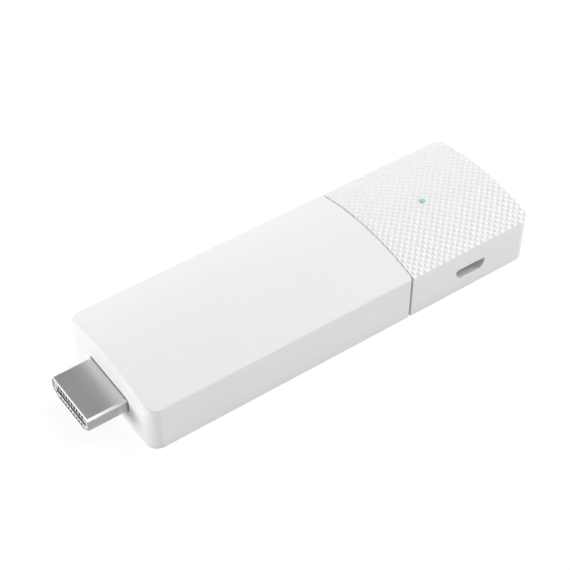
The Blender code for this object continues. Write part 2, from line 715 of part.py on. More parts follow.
def make_plug_contacts(gold):
    """Bent strips, one in each channel: a bow in the slot, a straight run and a tail on the board."""
    front = PLUG_TIP + INSULATOR_RECESS
    half_slot = TONGUE_SLOT_HEIGHT / 2
    run = half_slot + CONTACT_WEB + FIT + CONTACT_SHEET
    bow = half_slot - CONTACT_SHEET / 2
    rim = front + CONTACT_FRONT_RIM
    window_end = rim + CONTACT_WINDOW_LENGTH
    for row, up, places in contact_rows():
        pad = up * (BOARD_MIDDLE - SLOT_MIDDLE) + BOARD_THICKNESS / 2 + FIT + CONTACT_SHEET / 2
        line = [
            (rim - CONTACT_FRONT_RIM / 2, run + CONTACT_SHEET),
            (rim + CONTACT_SHEET, run),
            ((rim + window_end) / 2, bow),
            (window_end - CONTACT_SHEET, run),
            (PLUG_TAIL + FIT, run),
            (BOARD_FRONT + CONTACT_SHEET, pad),
            (BOARD_FRONT + CONTACT_PAD_LENGTH, pad),
        ]
        outline = strip([(x, SLOT_MIDDLE + up * z) for x, z in line], CONTACT_SHEET)
        for k, y in enumerate(places, start=1):
            sides = y - CONTACT_WIDTH / 2, y + CONTACT_WIDTH / 2
            piece(f"plug_contact_{row}_{k}", prism(outline, *sides, axis="y"), gold)


# The power socket


def usb_outline(grow=0.0):
    return [(USB_FROM_PLUG_END + x, z) for x, z in plug_outline(*USB_SIZES, grow=grow)]


def make_usb_shell(steel):
    """The folded steel tube, sunk in a notch of the board and carried by a wing on each side."""
    shell = piece("usb_shell", prism(usb_outline(), USB_MOUTH, USB_BACK, axis="y"), steel)
    wing = block(
        (USB_FROM_PLUG_END - USB_WIDTH / 2 - USB_WING, USB_FROM_PLUG_END + USB_WIDTH / 2 + USB_WING),
        (USB_BACK - USB_WING_FROM_BACK - USB_WING_LENGTH, USB_BACK - USB_WING_FROM_BACK),
        (SOLDERED, SOLDERED + USB_SHEET),
    )
    join(shell, piece("wings", wing))
    bore = prism(usb_outline(-USB_SHEET), USB_MOUTH - CUT_PAST, USB_BACK + CUT_PAST, axis="y")
    cut(shell, piece("bore", bore))
    return smooth(shell)


def usb_tongue_levels():
    """Underside and top of the tongue."""
    top = USB_TOP - USB_SHEET - USB_TONGUE_BELOW_ROOF
    return top - USB_TONGUE_THICKNESS, top


def make_usb_tongue(black):
    """The moulded block that closes the tube's back, with the tongue standing forward from it."""
    low, high = usb_tongue_levels()
    back = prism(usb_outline(-USB_SHEET - FIT), USB_BACK - USB_BLOCK_DEPTH, USB_BACK, axis="y")
    tongue = piece("usb_tongue", back, black)
    half = USB_TONGUE_WIDTH / 2
    bar = block(
        (USB_FROM_PLUG_END - half, USB_FROM_PLUG_END + half),
        (USB_MOUTH + USB_TONGUE_RECESS, USB_BACK - USB_BLOCK_DEPTH / 2),
        (low, high),
    )
    join(tongue, piece("bar", bar))
    gap = USB_CONTACT_WIDTH + 2 * FIT
    for x in usb_contact_places():
        run = block(
            (x - gap / 2, x + gap / 2),
            (USB_BACK - USB_BLOCK_DEPTH - CUT_PAST / 2, USB_BACK + CUT_PAST),
            (low - CONTACT_SHEET - 2 * FIT, low - FIT / 2),
        )
        cut(tongue, piece("contact_run", run))
    return tongue


def usb_contact_places():
    middle = (USB_CONTACTS - 1) / 2
    return [USB_FROM_PLUG_END + (k - middle) * USB_CONTACT_PITCH for k in range(USB_CONTACTS)]


def make_usb_contacts(gold):
    """Flat strips under the tongue, which run out of the back and step up onto the board."""
    low, _ = usb_tongue_levels()
    run = low - FIT - CONTACT_SHEET / 2
    pad = SOLDERED + CONTACT_SHEET / 2
    step = USB_BACK + USB_TAIL_ROOM / 2
    line = [
        (USB_MOUTH + USB_TONGUE_RECESS + FIT, run),
        (step, run),
        (step, pad),
        (USB_BACK + USB_TAIL_ROOM + USB_PAD_LENGTH, pad),
    ]
    outline = strip(line, CONTACT_SHEET)
    for k, x in enumerate(usb_contact_places(), start=1):
        sides = x - USB_CONTACT_WIDTH / 2, x + USB_CONTACT_WIDTH / 2
        piece(f"usb_contact_{k}", prism(outline, *sides, axis="x"), gold)


# The board and its components


def make_board(green):
    """The main board, with a notch for the power socket and holes for its screws."""
    half = BOARD_WIDTH / 2
    board = piece(
        "main_board",
        rounded_box((BOARD_FRONT, BOARD_REAR), (-half, half), SHIELD_CORNER, (BOARD_BOTTOM, BOARD_TOP)),
        green,
    )
    notch = block(
        (USB_FROM_PLUG_END - USB_WIDTH / 2 - 2 * FIT, USB_FROM_PLUG_END + USB_WIDTH / 2 + 2 * FIT),
        (-half - CUT_PAST, USB_BACK + USB_TAIL_ROOM),
        (BOARD_BOTTOM - CUT_PAST, BOARD_TOP + CUT_PAST),
    )
    cut(board, piece("notch", notch))
    for x, y in screw_places():
        hole = SCREW_DIAMETER + 2 * SCREW_CLEARANCE
        cut(board, piece("hole", rod(x, y, hole, (BOARD_BOTTOM - CUT_PAST, BOARD_TOP + CUT_PAST))))
    return board


def screw_places():
    rows = FRONT_SCREWS_FROM_PLUG_END, REAR_SCREWS_FROM_PLUG_END
    return [(x, side * SCREW_ACROSS) for x in rows for side in (-1, 1)]


def make_screws(steel):
    """Pan-head screws that clamp the board to its bosses, each with a round drive recess."""
    for k, (x, y) in enumerate(screw_places(), start=1):
        seat = BOARD_TOP + FIT
        thin, wide = SCREW_DIAMETER / 2, SCREW_HEAD_DIAMETER / 2
        flat, drive = SCREW_HEAD_FLAT / 2, SCREW_RECESS_DIAMETER / 2
        crown = seat + SCREW_HEAD_HEIGHT
        bite = BOARD_BOTTOM - SCREW_BITE
        profile = [(0, bite), (thin / 2, bite), (thin, bite + thin), (thin, seat), (wide, seat)]
        profile += [(wide, seat + SCREW_HEAD_EDGE), (flat, crown), (drive, crown)]
        profile += [(drive, crown - SCREW_RECESS_DEPTH), (0, crown - SCREW_RECESS_DEPTH)]
        smooth(piece(f"board_screw_{k}", turned(x, y, profile), steel))


def chip(name, size, x, y, material, under=False):
    """A component with chamfered upright corners, soldered on the board's top or its underside."""
    low = BOARD_BOTTOM - FIT - size[2] if under else SOLDERED
    ends = (x - size[0] / 2, x + size[0] / 2), (y - size[1] / 2, y + size[1] / 2)
    return piece(name, rounded_box(*ends, CHIP_CHAMFER, (low, low + size[2])), material)


def can(name, x, y, low, high, material):
    """A pressed shield: a lid with four sides, open towards the board."""
    shield = piece(name, rounded_box(x, y, SHIELD_CORNER, (low, high)), material)
    sheet = SHIELD_SHEET
    room = rounded_box(
        (x[0] + sheet, x[1] - sheet),
        (y[0] + sheet, y[1] - sheet),
        max(SHIELD_CORNER - sheet, SMALLEST_RADIUS),
        (low - CUT_PAST, high - sheet),
    )
    cut(shield, piece("room", room))
    return smooth(shield)


def make_processor_group(black, steel, pad):
    """The processor and its memory under their shield, with a pad on each side of the shield's lid."""
    front, rear = SHIELD_FROM_PLUG_END, SHIELD_FROM_PLUG_END + SHIELD_LENGTH
    half = SHIELD_WIDTH / 2
    can("processor_shield", (front, rear), (-half, half), SOLDERED, SHIELD_TOP, steel)
    chip_x = front + SHIELD_SHEET + COMPONENT_ROW_GAP + PROCESSOR[0] / 2
    chip("processor", PROCESSOR, chip_x, 0.0, black)
    memory_x = chip_x + PROCESSOR[0] / 2 + COMPONENT_ROW_GAP + MEMORY[0] / 2
    memory_y = (MEMORY[1] + COMPONENT_ROW_GAP / 2) / 2
    chip("memory_1", MEMORY, memory_x, -memory_y, black)
    chip("memory_2", MEMORY, memory_x, memory_y, black)
    chip("flash_storage", FLASH, FLASH_FROM_PLUG_END, 0.0, black, under=True)

    def soft_pad(name, low, thickness):
        ends = (chip_x - PROCESSOR[0] / 2, chip_x + PROCESSOR[0] / 2)
        width = (-PROCESSOR[1] / 2, PROCESSOR[1] / 2)
        piece(name, rounded_box(ends, width, CHIP_CHAMFER, (low, low + thickness)), pad)

    soft_pad("processor_pad", SOLDERED + PROCESSOR[2] + FIT, PROCESSOR_PAD_THICKNESS)
    soft_pad("shield_pad", SHIELD_TOP + FIT, SHIELD_PAD_THICKNESS)


def make_heat_spreader(aluminium):
    """A folded aluminium plate on the upper pad, with a stiffening flange turned up along each side."""
    base = SHIELD_TOP + FIT + SHIELD_PAD_THICKNESS + FIT
    half = SPREADER_WIDTH / 2
    thick = SPREADER_THICKNESS
    high = base + thick + SPREADER_FLANGE
    outline = [(-half, base), (half, base), (half, high), (half - thick, high), (half - thick, base + thick)]
    outline += [(thick - half, base + thick), (thick - half, high), (-half, high)]
    front = SHIELD_FROM_PLUG_END
    return piece("heat_spreader", prism(outline, front, front + SPREADER_LENGTH, axis="x"), aluminium)


def make_wireless_group(green, steel, copper):
    """The wireless module with its shield, and the two antennas at the rear end of the board."""
    front = SHIELD_FROM_PLUG_END + SHIELD_LENGTH + 2 * COMPONENT_ROW_GAP
    x = front + WIFI_BOARD[0] / 2
    chip("wifi_board", WIFI_BOARD, x, 0.0, green)
    low = SOLDERED + WIFI_BOARD[2] + FIT
    reach = WIFI_BOARD[0] / 2 - WIFI_SHIELD_MARGIN
    span = WIFI_BOARD[1] / 2 - WIFI_SHIELD_MARGIN
    can("wifi_shield", (x - reach, x + reach), (-span, span), low, low + WIFI_SHIELD_HEIGHT, steel)
    for name, side in (("antenna_left", 1), ("antenna_right", -1)):
        make_antenna(name, side * ANTENNA_SPACING / 2, copper)


def make_antenna(name, y, copper):
    """A stamped strip antenna: a foot on the board, an upright leg and a radiating plate."""
    rear = BOARD_REAR - CHIP_CHAMFER
    front = rear - ANTENNA_LENGTH
    top = SOLDERED + ANTENNA_HEIGHT
    sheet = ANTENNA_SHEET
    half = sheet / 2
    line = [
        (front - ANTENNA_LEG, SOLDERED + half),
        (front + half, SOLDERED + half),
        (front + half, top - half),
        (rear, top - half),
    ]
    sides = y - ANTENNA_WIDTH / 2, y + ANTENNA_WIDTH / 2
    antenna = piece(name, prism(strip(line, sheet), *sides, axis="y"), copper)
    slot = block(
        (front + ANTENNA_LEG, rear + CUT_PAST),
        (y - ANTENNA_SLOT / 2, y + ANTENNA_SLOT / 2),
        (top - 2 * sheet, top + sheet),
    )
    cut(antenna, piece("slot", slot))
    return antenna


def make_power_group(black, ferrite, ceramic, silver):
    """The power converter between the socket and the processor, and the clock crystal."""
    x = REAR_SCREWS_FROM_PLUG_END
    chip("power_chip", POWER_CHIP, x, 0.0, black)
    step = POWER_CHIP[1] / 2 + COMPONENT_ROW_GAP / 2 + INDUCTOR[1] / 2
    chip("inductor_1", INDUCTOR, x, -step, ferrite)
    chip("inductor_2", INDUCTOR, x, step, ferrite)
    for k in range(2):
        capacitor_x = REAR_START + CAPACITORS_FROM_SEAM + k * (CAPACITOR[0] + COMPONENT_ROW_GAP)
        chip(f"bulk_capacitor_{k + 1}", CAPACITOR, capacitor_x, CAPACITORS_ACROSS, ceramic)
    crystal_x = SHIELD_FROM_PLUG_END + SHIELD_LENGTH + COMPONENT_ROW_GAP + CRYSTAL[0] / 2
    crystal_y = WIFI_BOARD[1] / 2 + COMPONENT_ROW_GAP + CRYSTAL[1] / 2
    chip("clock_crystal", CRYSTAL, crystal_x, crystal_y, silver)
    chip("status_led", LED, LIGHT_FROM_PLUG_END, 0.0, ceramic)


clear_scene()
STICK = stick_frame()

WHITE = finish("white_plastic", (0.86, 0.86, 0.86), 0.45)
RELIEF_WHITE = finish("relief_white_plastic", (0.86, 0.86, 0.86), 0.5)
TEAL = finish("teal_lens", (0.30, 0.68, 0.72), 0.25)
STEEL = finish("plug_steel", (0.52, 0.53, 0.54), 0.3, 1.0)
GREY = finish("grey_insulator", (0.45, 0.46, 0.47), 0.5)
BLACK = finish("black_resin", (0.03, 0.03, 0.03), 0.5)
GOLD = finish("gold_plate", (0.83, 0.63, 0.27), 0.3, 1.0)
GREEN = finish("board_green", (0.03, 0.16, 0.08), 0.45)
TIN = finish("tin_plate", (0.68, 0.69, 0.70), 0.35, 1.0)
PAD = finish("pad_grey", (0.35, 0.40, 0.45), 0.8)
ALUMINIUM = finish("spreader_aluminium", (0.75, 0.76, 0.77), 0.4, 1.0)
COPPER = finish("antenna_copper", (0.72, 0.45, 0.30), 0.35, 1.0)
FERRITE = finish("ferrite_grey", (0.12, 0.12, 0.13), 0.7)
CERAMIC = finish("ceramic_tan", (0.55, 0.45, 0.33), 0.5)

make_front_case(WHITE)
make_front_cover(WHITE)
make_rear_case(WHITE)
make_rear_cover(RELIEF_WHITE)
make_light_pipe(TEAL)
make_plug_shell(STEEL)
make_plug_insulator(GREY)
make_plug_contacts(GOLD)
make_usb_shell(STEEL)
make_usb_tongue(BLACK)
make_usb_contacts(GOLD)
make_board(GREEN)
make_screws(STEEL)
make_processor_group(BLACK, TIN, PAD)
make_heat_spreader(ALUMINIUM)
make_wireless_group(GREEN, TIN, COPPER)
make_power_group(BLACK, FERRITE, CERAMIC, TIN)
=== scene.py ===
import math

import bmesh
import bpy
from mathutils import Matrix, Quaternion, Vector


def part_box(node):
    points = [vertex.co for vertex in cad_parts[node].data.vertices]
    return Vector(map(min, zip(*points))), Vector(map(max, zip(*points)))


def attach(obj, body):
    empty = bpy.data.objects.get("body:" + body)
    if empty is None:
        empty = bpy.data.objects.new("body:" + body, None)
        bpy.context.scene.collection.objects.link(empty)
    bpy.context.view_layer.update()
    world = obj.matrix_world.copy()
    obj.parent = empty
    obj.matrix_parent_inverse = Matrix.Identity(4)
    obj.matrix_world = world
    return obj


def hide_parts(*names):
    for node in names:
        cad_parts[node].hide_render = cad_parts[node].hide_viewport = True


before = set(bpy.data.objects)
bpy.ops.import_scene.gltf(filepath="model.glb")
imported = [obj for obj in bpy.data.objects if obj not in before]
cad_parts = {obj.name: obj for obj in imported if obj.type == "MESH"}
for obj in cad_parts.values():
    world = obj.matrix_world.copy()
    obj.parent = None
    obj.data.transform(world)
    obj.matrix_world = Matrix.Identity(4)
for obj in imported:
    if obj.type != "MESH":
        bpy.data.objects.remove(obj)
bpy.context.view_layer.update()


# Main board
# A glass-epoxy board under green solder mask, with its copper tracks raised under the mask and tinned vias
# between them. It is routed to its outline, screwed to posts in both cases, and carries all the rest.

MM = 0.001
TRACK_CELLS = 380.0
TRACK_EDGE = (0.08, 0.14)
TRACK_HEIGHT = 0.035 * MM
VIA_CELLS = 700.0
VIA_EDGE = (0.10, 0.13)
MASK_CLOUD = 400.0
MASK_GREEN = (0.012, 0.10, 0.05, 1.0)
TRACK_GREEN = (0.03, 0.20, 0.09, 1.0)
VIA_TIN = (0.60, 0.58, 0.50, 1.0)


class Wire:
    """A socket of a node tree. Sums on it add Math nodes, and add() puts in any other node."""

    def __init__(self, tree, socket=None):
        self.tree = tree
        self.socket = socket

    def put(self, socket, value):
        """Links a wire to a socket, or sets the socket to a plain value."""
        if isinstance(value, Wire):
            self.tree.links.new(value.socket, socket)
        else:
            socket.default_value = value

    def add(self, kind, settings=None, sockets=None, out=0):
        """A new node, with its settings made first and then its sockets. Gives one of its outputs."""
        node = self.tree.nodes.new(kind)
        for name, value in (settings or {}).items():
            setattr(node, name, value)
        for name, value in (sockets or {}).items():
            self.put(node.inputs[name], value)
        return Wire(self.tree, node.outputs[out])

    def math(self, operation, *values):
        """A Math node on wires or plain values."""
        return self.add("ShaderNodeMath", {"operation": operation}, dict(enumerate(values)))

    def __add__(self, other):
        return self.math("ADD", self, other)

    __radd__ = __add__

    def __mul__(self, other):
        return self.math("MULTIPLY", self, other)

    __rmul__ = __mul__

    def __sub__(self, other):
        return self.math("SUBTRACT", self, other)

    def __rsub__(self, other):
        return self.math("SUBTRACT", other, self)

    def __truediv__(self, other):
        return self.math("DIVIDE", self, other)

    def step(self, low, high):
        """0 below low, 1 above high, and a smooth climb between them."""
        ends = {"Value": self, "From Min": low, "From Max": high}
        return self.add("ShaderNodeMapRange", {"interpolation_type": "SMOOTHSTEP"}, ends)

    def mix(self, low, high):
        """A colour that goes from low to high as this wire goes from 0 to 1."""
        return self.add("ShaderNodeMix", {"data_type": "RGBA"}, {0: self, 6: low, 7: high}, out=2)

    def noise(self, scale, detail=2.0, stretch=(1.0, 1.0, 1.0)):
        """Noise on these coordinates, in features per metre, drawn out along an axis by a small stretch."""
        drawn = self.add("ShaderNodeMapping", {}, {"Vector": self, "Scale": stretch})
        return self.add("ShaderNodeTexNoise", {}, {"Vector": drawn, "Scale": scale, "Detail": detail})

    def cells(self, scale, feature="F1", distance="EUCLIDEAN"):
        """Distance to the nearest point, or to the second, of a scatter with this many points per metre."""
        kind = {"feature": feature, "distance": distance}
        return self.add("ShaderNodeTexVoronoi", kind, {"Vector": self, "Scale": scale}, "Distance")

    def part(self, axis):
        """x, y or z of this vector, as axis 0, 1 or 2."""
        return self.add("ShaderNodeSeparateXYZ", {}, {"Vector": self}, axis)

    def bump(self, height, strength=1.0):
        """A surface normal from this wire, as a relief of this height in metres."""
        sockets = {"Height": self, "Distance": height, "Strength": strength}
        return self.add("ShaderNodeBump", {}, sockets, "Normal")


def finish(name, surface):
    """A material. surface() takes Object coordinates and gives values or wires for the shader's sockets."""
    made = bpy.data.materials.new(name)
    made.use_nodes = True
    shader = made.node_tree.nodes["Principled BSDF"]
    place = Wire(made.node_tree).add("ShaderNodeTexCoord", out="Object")
    for socket, value in surface(place).items():
        place.put(shader.inputs[socket], value)
    return made


def dress(material, *nodes):
    """Gives a finish to CAD nodes whose shape stays."""
    for node in nodes:
        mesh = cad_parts[node].data
        mesh.materials.clear()
        mesh.materials.append(material)


def solder_mask(place):
    borders = place.cells(TRACK_CELLS, "F2", "MANHATTAN") - place.cells(TRACK_CELLS, "F1", "MANHATTAN")
    track = 1 - borders.step(*TRACK_EDGE)
    via = 1 - place.cells(VIA_CELLS).step(*VIA_EDGE)
    return {
        "Base Color": via.mix(track.mix(MASK_GREEN, TRACK_GREEN), VIA_TIN),
        "Metallic": via * 0.9,
        "Roughness": 0.30 + 0.12 * place.noise(MASK_CLOUD),
        "Normal": (track * 0.6 + via * 0.4).bump(TRACK_HEIGHT),
    }


MASKED_BOARD = finish("masked_board", solder_mask)
dress(MASKED_BOARD, "main_board")


# Chips
# The processor, its two memories, the flash storage and the power converter, each moulded in black epoxy
# with a grain from the mould. All are soldered flat on the board, the storage on its underside.

RESIN_DARK = (0.012, 0.012, 0.013, 1.0)
RESIN_GREY = (0.040, 0.040, 0.042, 1.0)
RESIN_GRAIN = 4000.0
RESIN_CLOUD = 220.0
RESIN_RELIEF = 0.012 * MM


def moulded_resin(place):
    grain = place.noise(RESIN_GRAIN, detail=4.0)
    return {
        "Base Color": (grain * 0.7 + place.noise(RESIN_CLOUD) * 0.3).mix(RESIN_DARK, RESIN_GREY),
        "Roughness": 0.42 + 0.25 * grain,
        "Normal": grain.bump(RESIN_RELIEF),
    }


BLACK_RESIN = finish("black_moulded_resin", moulded_resin)
dress(BLACK_RESIN, "processor", "memory_1", "memory_2", "flash_storage", "power_chip")


# Coils, capacitors and the light's diode
# Pressed ferrite blocks beside the power chip, and two low capacitors and a small diode in pale ceramic.
# They are fired in a kiln, and soldered by their ends to the board.

FERRITE_DARK = (0.070, 0.070, 0.076, 1.0)
FERRITE_PALE = (0.17, 0.17, 0.18, 1.0)
FERRITE_GRAIN = 5200.0
FERRITE_RELIEF = 0.02 * MM
CERAMIC_TAN = (0.50, 0.40, 0.28, 1.0)
CERAMIC_PALE = (0.62, 0.53, 0.41, 1.0)
CERAMIC_SPECKS = 3600.0
SPECK_EDGE = (0.15, 0.4)
CERAMIC_CLOUD = 600.0
CERAMIC_RELIEF = 0.006 * MM


def pressed_ferrite(place):
    grain = place.noise(FERRITE_GRAIN, detail=5.0)
    return {
        "Base Color": grain.mix(FERRITE_DARK, FERRITE_PALE),
        "Roughness": 0.55 + 0.3 * grain,
        "Normal": grain.bump(FERRITE_RELIEF),
    }


def fired_ceramic(place):
    speckle = 1 - place.cells(CERAMIC_SPECKS).step(*SPECK_EDGE)
    tone = place.noise(CERAMIC_CLOUD)
    return {
        "Base Color": (tone * 0.8 + speckle * 0.2).mix(CERAMIC_TAN, CERAMIC_PALE),
        "Roughness": 0.35 + 0.25 * tone,
        "Normal": speckle.bump(CERAMIC_RELIEF),
    }


dress(finish("pressed_ferrite", pressed_ferrite), "inductor_1", "inductor_2")
dress(finish("fired_ceramic", fired_ceramic), "bulk_capacitor_1", "bulk_capacitor_2", "status_led")


# Wireless module, shields and crystal
# A small board of its own under a pressed tin-plated lid, the large lid over the processor, and the crystal's
# sealed can. The lids are drawn from thin sheet, open below, and soldered round their rims.

TIN_GREY = (0.62, 0.63, 0.64, 1.0)
TIN_BRIGHT = (0.80, 0.81, 0.82, 1.0)
TIN_BLOOM = 260.0
TIN_ROLLED = 5000.0
TIN_RELIEF = 0.002 * MM


def tinned_sheet(place):
    bloom = place.noise(TIN_BLOOM, detail=4.0)
    rolled = place.noise(TIN_ROLLED, stretch=(0.03, 1.0, 1.0))
    return {
        "Base Color": bloom.mix(TIN_GREY, TIN_BRIGHT),
        "Metallic": 1.0,
        "Roughness": 0.24 + 0.16 * bloom + 0.1 * rolled,
        "Normal": rolled.bump(TIN_RELIEF),
    }


TINNED_SHEET = finish("tinned_sheet", tinned_sheet)
dress(MASKED_BOARD, "wifi_board")
dress(TINNED_SHEET, "wifi_shield", "processor_shield", "clock_crystal")


# Heat path
# A soft filled-silicone pad on each side of the processor's lid, and on top a folded aluminium plate, left as
# it comes off the rolling mill. The stack is pressed together by the cover.

PAD_GREY = (0.30, 0.35, 0.40, 1.0)
PAD_PALE = (0.42, 0.47, 0.52, 1.0)
PAD_FILLER = 2600.0
PAD_RELIEF = 0.03 * MM
ALUMINIUM_GREY = (0.66, 0.67, 0.68, 1.0)
ALUMINIUM_PALE = (0.80, 0.81, 0.82, 1.0)
ALUMINIUM_ROLLED = 3800.0
ALUMINIUM_RELIEF = 0.003 * MM


def filled_silicone(place):
    filler = place.noise(PAD_FILLER, detail=4.0)
    return {
        "Base Color": filler.mix(PAD_GREY, PAD_PALE),
        "Roughness": 0.7 + 0.2 * filler,
        "Normal": filler.bump(PAD_RELIEF),
    }


def rolled_aluminium(place):
    rolled = place.noise(ALUMINIUM_ROLLED, detail=3.0, stretch=(0.02, 1.0, 1.0))
    return {
        "Base Color": rolled.mix(ALUMINIUM_GREY, ALUMINIUM_PALE),
        "Metallic": 1.0,
        "Roughness": 0.30 + 0.2 * rolled,
        "Normal": rolled.bump(ALUMINIUM_RELIEF),
    }


dress(finish("filled_silicone", filled_silicone), "processor_pad", "shield_pad")
dress(finish("rolled_aluminium", rolled_aluminium), "heat_spreader")


# Antennas
# Two strips stamped from copper sheet, each folded into a foot, an upright leg and a slotted plate. The feet
# are soldered at the rear end of the board, where the casing is clear of metal.

COPPER_BRIGHT = (0.80, 0.50, 0.34, 1.0)
COPPER_TARNISHED = (0.50, 0.28, 0.18, 1.0)
TARNISH_CLOUD = 350.0
TARNISH_EDGE = (0.45, 0.75)
COPPER_ROLLED = 6000.0
COPPER_RELIEF = 0.002 * MM


def stamped_copper(place):
    tarnish = place.noise(TARNISH_CLOUD, detail=4.0).step(*TARNISH_EDGE)
    rolled = place.noise(COPPER_ROLLED, stretch=(1.0, 0.03, 1.0))
    return {
        "Base Color": tarnish.mix(COPPER_BRIGHT, COPPER_TARNISHED),
        "Metallic": 1.0,
        "Roughness": 0.25 + 0.25 * tarnish + 0.1 * rolled,
        "Normal": rolled.bump(COPPER_RELIEF),
    }


dress(finish("stamped_copper", stamped_copper), "antenna_left", "antenna_right")


# Board screws
# Four small pan-head screws in plated steel with a cross recess. They hold the board down on the posts of
# the cases, two near the plug and two just behind the seam.

STEEL_GREY = (0.40, 0.41, 0.42, 1.0)
STEEL_PALE = (0.53, 0.54, 0.55, 1.0)
STEEL_DRAWN = 5200.0
STEEL_CLOUD = 300.0
STEEL_RELIEF = 0.0015 * MM
SCREWS = 4
SCREW_HEAD = 3.0 * MM
SCREW_HEAD_HEIGHT = 1.0 * MM
SCREW_RIM = 0.35 * MM
SCREW_FLAT = 0.45
SCREW_SHANK = 1.6 * MM
SCREW_TIP = 0.8 * MM
SCREW_TIP_FLAT = 0.2
SCREW_ROUND_STEPS = 32
SCREW_HEAD_STEPS = 6
RECESS_WIDTH = 0.42 * MM
RECESS_SPAN = 1.7 * MM
RECESS_DEPTH = 0.55 * MM
CUT_PAST = 1.0 * MM
SHARP_ANGLE = math.radians(32)


def drawn_steel(place):
    drawn = place.noise(STEEL_DRAWN, detail=3.0, stretch=(0.02, 1.0, 1.0))
    cloud = place.noise(STEEL_CLOUD)
    return {
        "Base Color": (drawn * 0.5 + cloud * 0.5).mix(STEEL_GREY, STEEL_PALE),
        "Metallic": 1.0,
        "Roughness": 0.26 + 0.08 * drawn,
        "Normal": drawn.bump(STEEL_RELIEF),
    }


DRAWN_STEEL = finish("drawn_steel", drawn_steel)


def skin(rings, loop=False):
    """Skins rings of points in order. A loop joins the last to the first, or else both ends are capped."""
    shape = bmesh.new()
    rows = [[shape.verts.new(point) for point in ring] for ring in rings]
    pairs = list(zip(rows, rows[1:]))
    if loop:
        pairs.append((rows[-1], rows[0]))
    for lower, upper in pairs:
        for i in range(len(lower)):
            shape.faces.new((lower[i - 1], lower[i], upper[i], upper[i - 1]))
    if not loop:
        for end in (rows[0], rows[-1]):
            shape.faces.new(end)
    return shape


def circle(x, y, z, radius, steps):
    """Points round an upright axis."""
    turns = [2 * math.pi * k / steps for k in range(steps)]
    return [(x + radius * math.cos(t), y + radius * math.sin(t), z) for t in turns]


def turned(x, y, profile, steps):
    """A solid turned about an upright axis, from (radius, z) pairs."""
    return skin([circle(x, y, z, radius, steps) for radius, z in profile])


def quarter(steps):
    """The sines and cosines of a quarter turn."""
    turns = [math.pi / 2 * k / steps for k in range(steps + 1)]
    return [(math.sin(t), math.cos(t)) for t in turns]


def block(low, high):
    """A box between two corners."""
    (x0, y0, z0), (x1, y1, z1) = low, high
    plan = (x0, y0), (x1, y0), (x1, y1), (x0, y1)
    return skin([[(x, y, z) for x, y in plan] for z in (z0, z1)])


def piece(name, shape, material=None):
    """An object from a bmesh, with its faces turned out."""
    bmesh.ops.recalc_face_normals(shape, faces=shape.faces)
    mesh = bpy.data.meshes.new(name)
    shape.to_mesh(mesh)
    shape.free()
    if material:
        mesh.materials.append(material)
    made = bpy.data.objects.new(name, mesh)
    bpy.context.scene.collection.objects.link(made)
    return made


def settle(made):
    """Turns a piece's modifiers into plain mesh."""
    graph = bpy.context.evaluated_depsgraph_get()
    mesh = bpy.data.meshes.new_from_object(made.evaluated_get(graph))
    made.modifiers.clear()
    made.data = mesh
    return made


def melt(made):
    """Turns an object back into a loose shape, and drops the object."""
    shape = bmesh.new()
    shape.from_mesh(made.data)
    bpy.data.objects.remove(made)
    return shape


def carve(made, tool, operation="DIFFERENCE"):
    """Cuts a piece by a tool, joins the two or keeps what they share, and drops the tool."""
    step = made.modifiers.new("carve", "BOOLEAN")
    step.operation = operation
    step.solver = "MANIFOLD"
    step.object = tool
    settle(made)
    bpy.data.objects.remove(tool)


def smooth(made):
    """Shades a piece round, with its sharp edges kept and its flat faces flat."""
    made.data.shade_smooth()
    made.data.set_sharp_from_angle(angle=SHARP_ANGLE)
    step = made.modifiers.new("normals", "WEIGHTED_NORMAL")
    step.keep_sharp = True
    return settle(made)


def coat(made, material):
    """Gives a piece one finish all over."""
    made.data.materials.clear()
    made.data.materials.append(material)
    made.data.polygons.foreach_set("material_index", [0] * len(made.data.polygons))


def stand_for(made, slot, *nodes):
    """Puts a finished piece on the stick in place of CAD nodes."""
    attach(made, "root")
    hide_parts(*nodes)


def from_nodes(name, start, sizes, material, build):
    """Runs a geometry-node tree on a starting mesh, with named sizes, and keeps its result as plain mesh."""
    tree = bpy.data.node_groups.new(name, "GeometryNodeTree")
    kinds = {int: "NodeSocketInt", float: "NodeSocketFloat", bpy.types.Material: "NodeSocketMaterial"}
    sizes = {**sizes, "Material": material}
    tree.interface.new_socket("Start", in_out="INPUT", socket_type="NodeSocketGeometry")
    tree.interface.new_socket("Result", in_out="OUTPUT", socket_type="NodeSocketGeometry")
    places = {}
    for label, value in sizes.items():
        socket = tree.interface.new_socket(label, in_out="INPUT", socket_type=kinds[type(value)])
        places[label] = socket.identifier
    inputs = tree.nodes.new("NodeGroupInput")
    wires = {socket.name: Wire(tree, socket) for socket in inputs.outputs if socket.name}
    result = build(wires)
    result = result.add("GeometryNodeRealizeInstances", {}, {"Geometry": result})
    result = result.add("GeometryNodeSetMaterial", {}, {"Geometry": result, "Material": wires["Material"]})
    outputs = tree.nodes.new("NodeGroupOutput")
    tree.links.new(result.socket, outputs.inputs["Result"])
    made = piece(name, start, material)
    step = made.modifiers.new("nodes", "NODES")
    step.node_group = tree
    for label, value in sizes.items():
        step[places[label]] = value
    return settle(made)


screw_low, screw_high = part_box("board_screw_1")
far_low, far_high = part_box("board_screw_4")


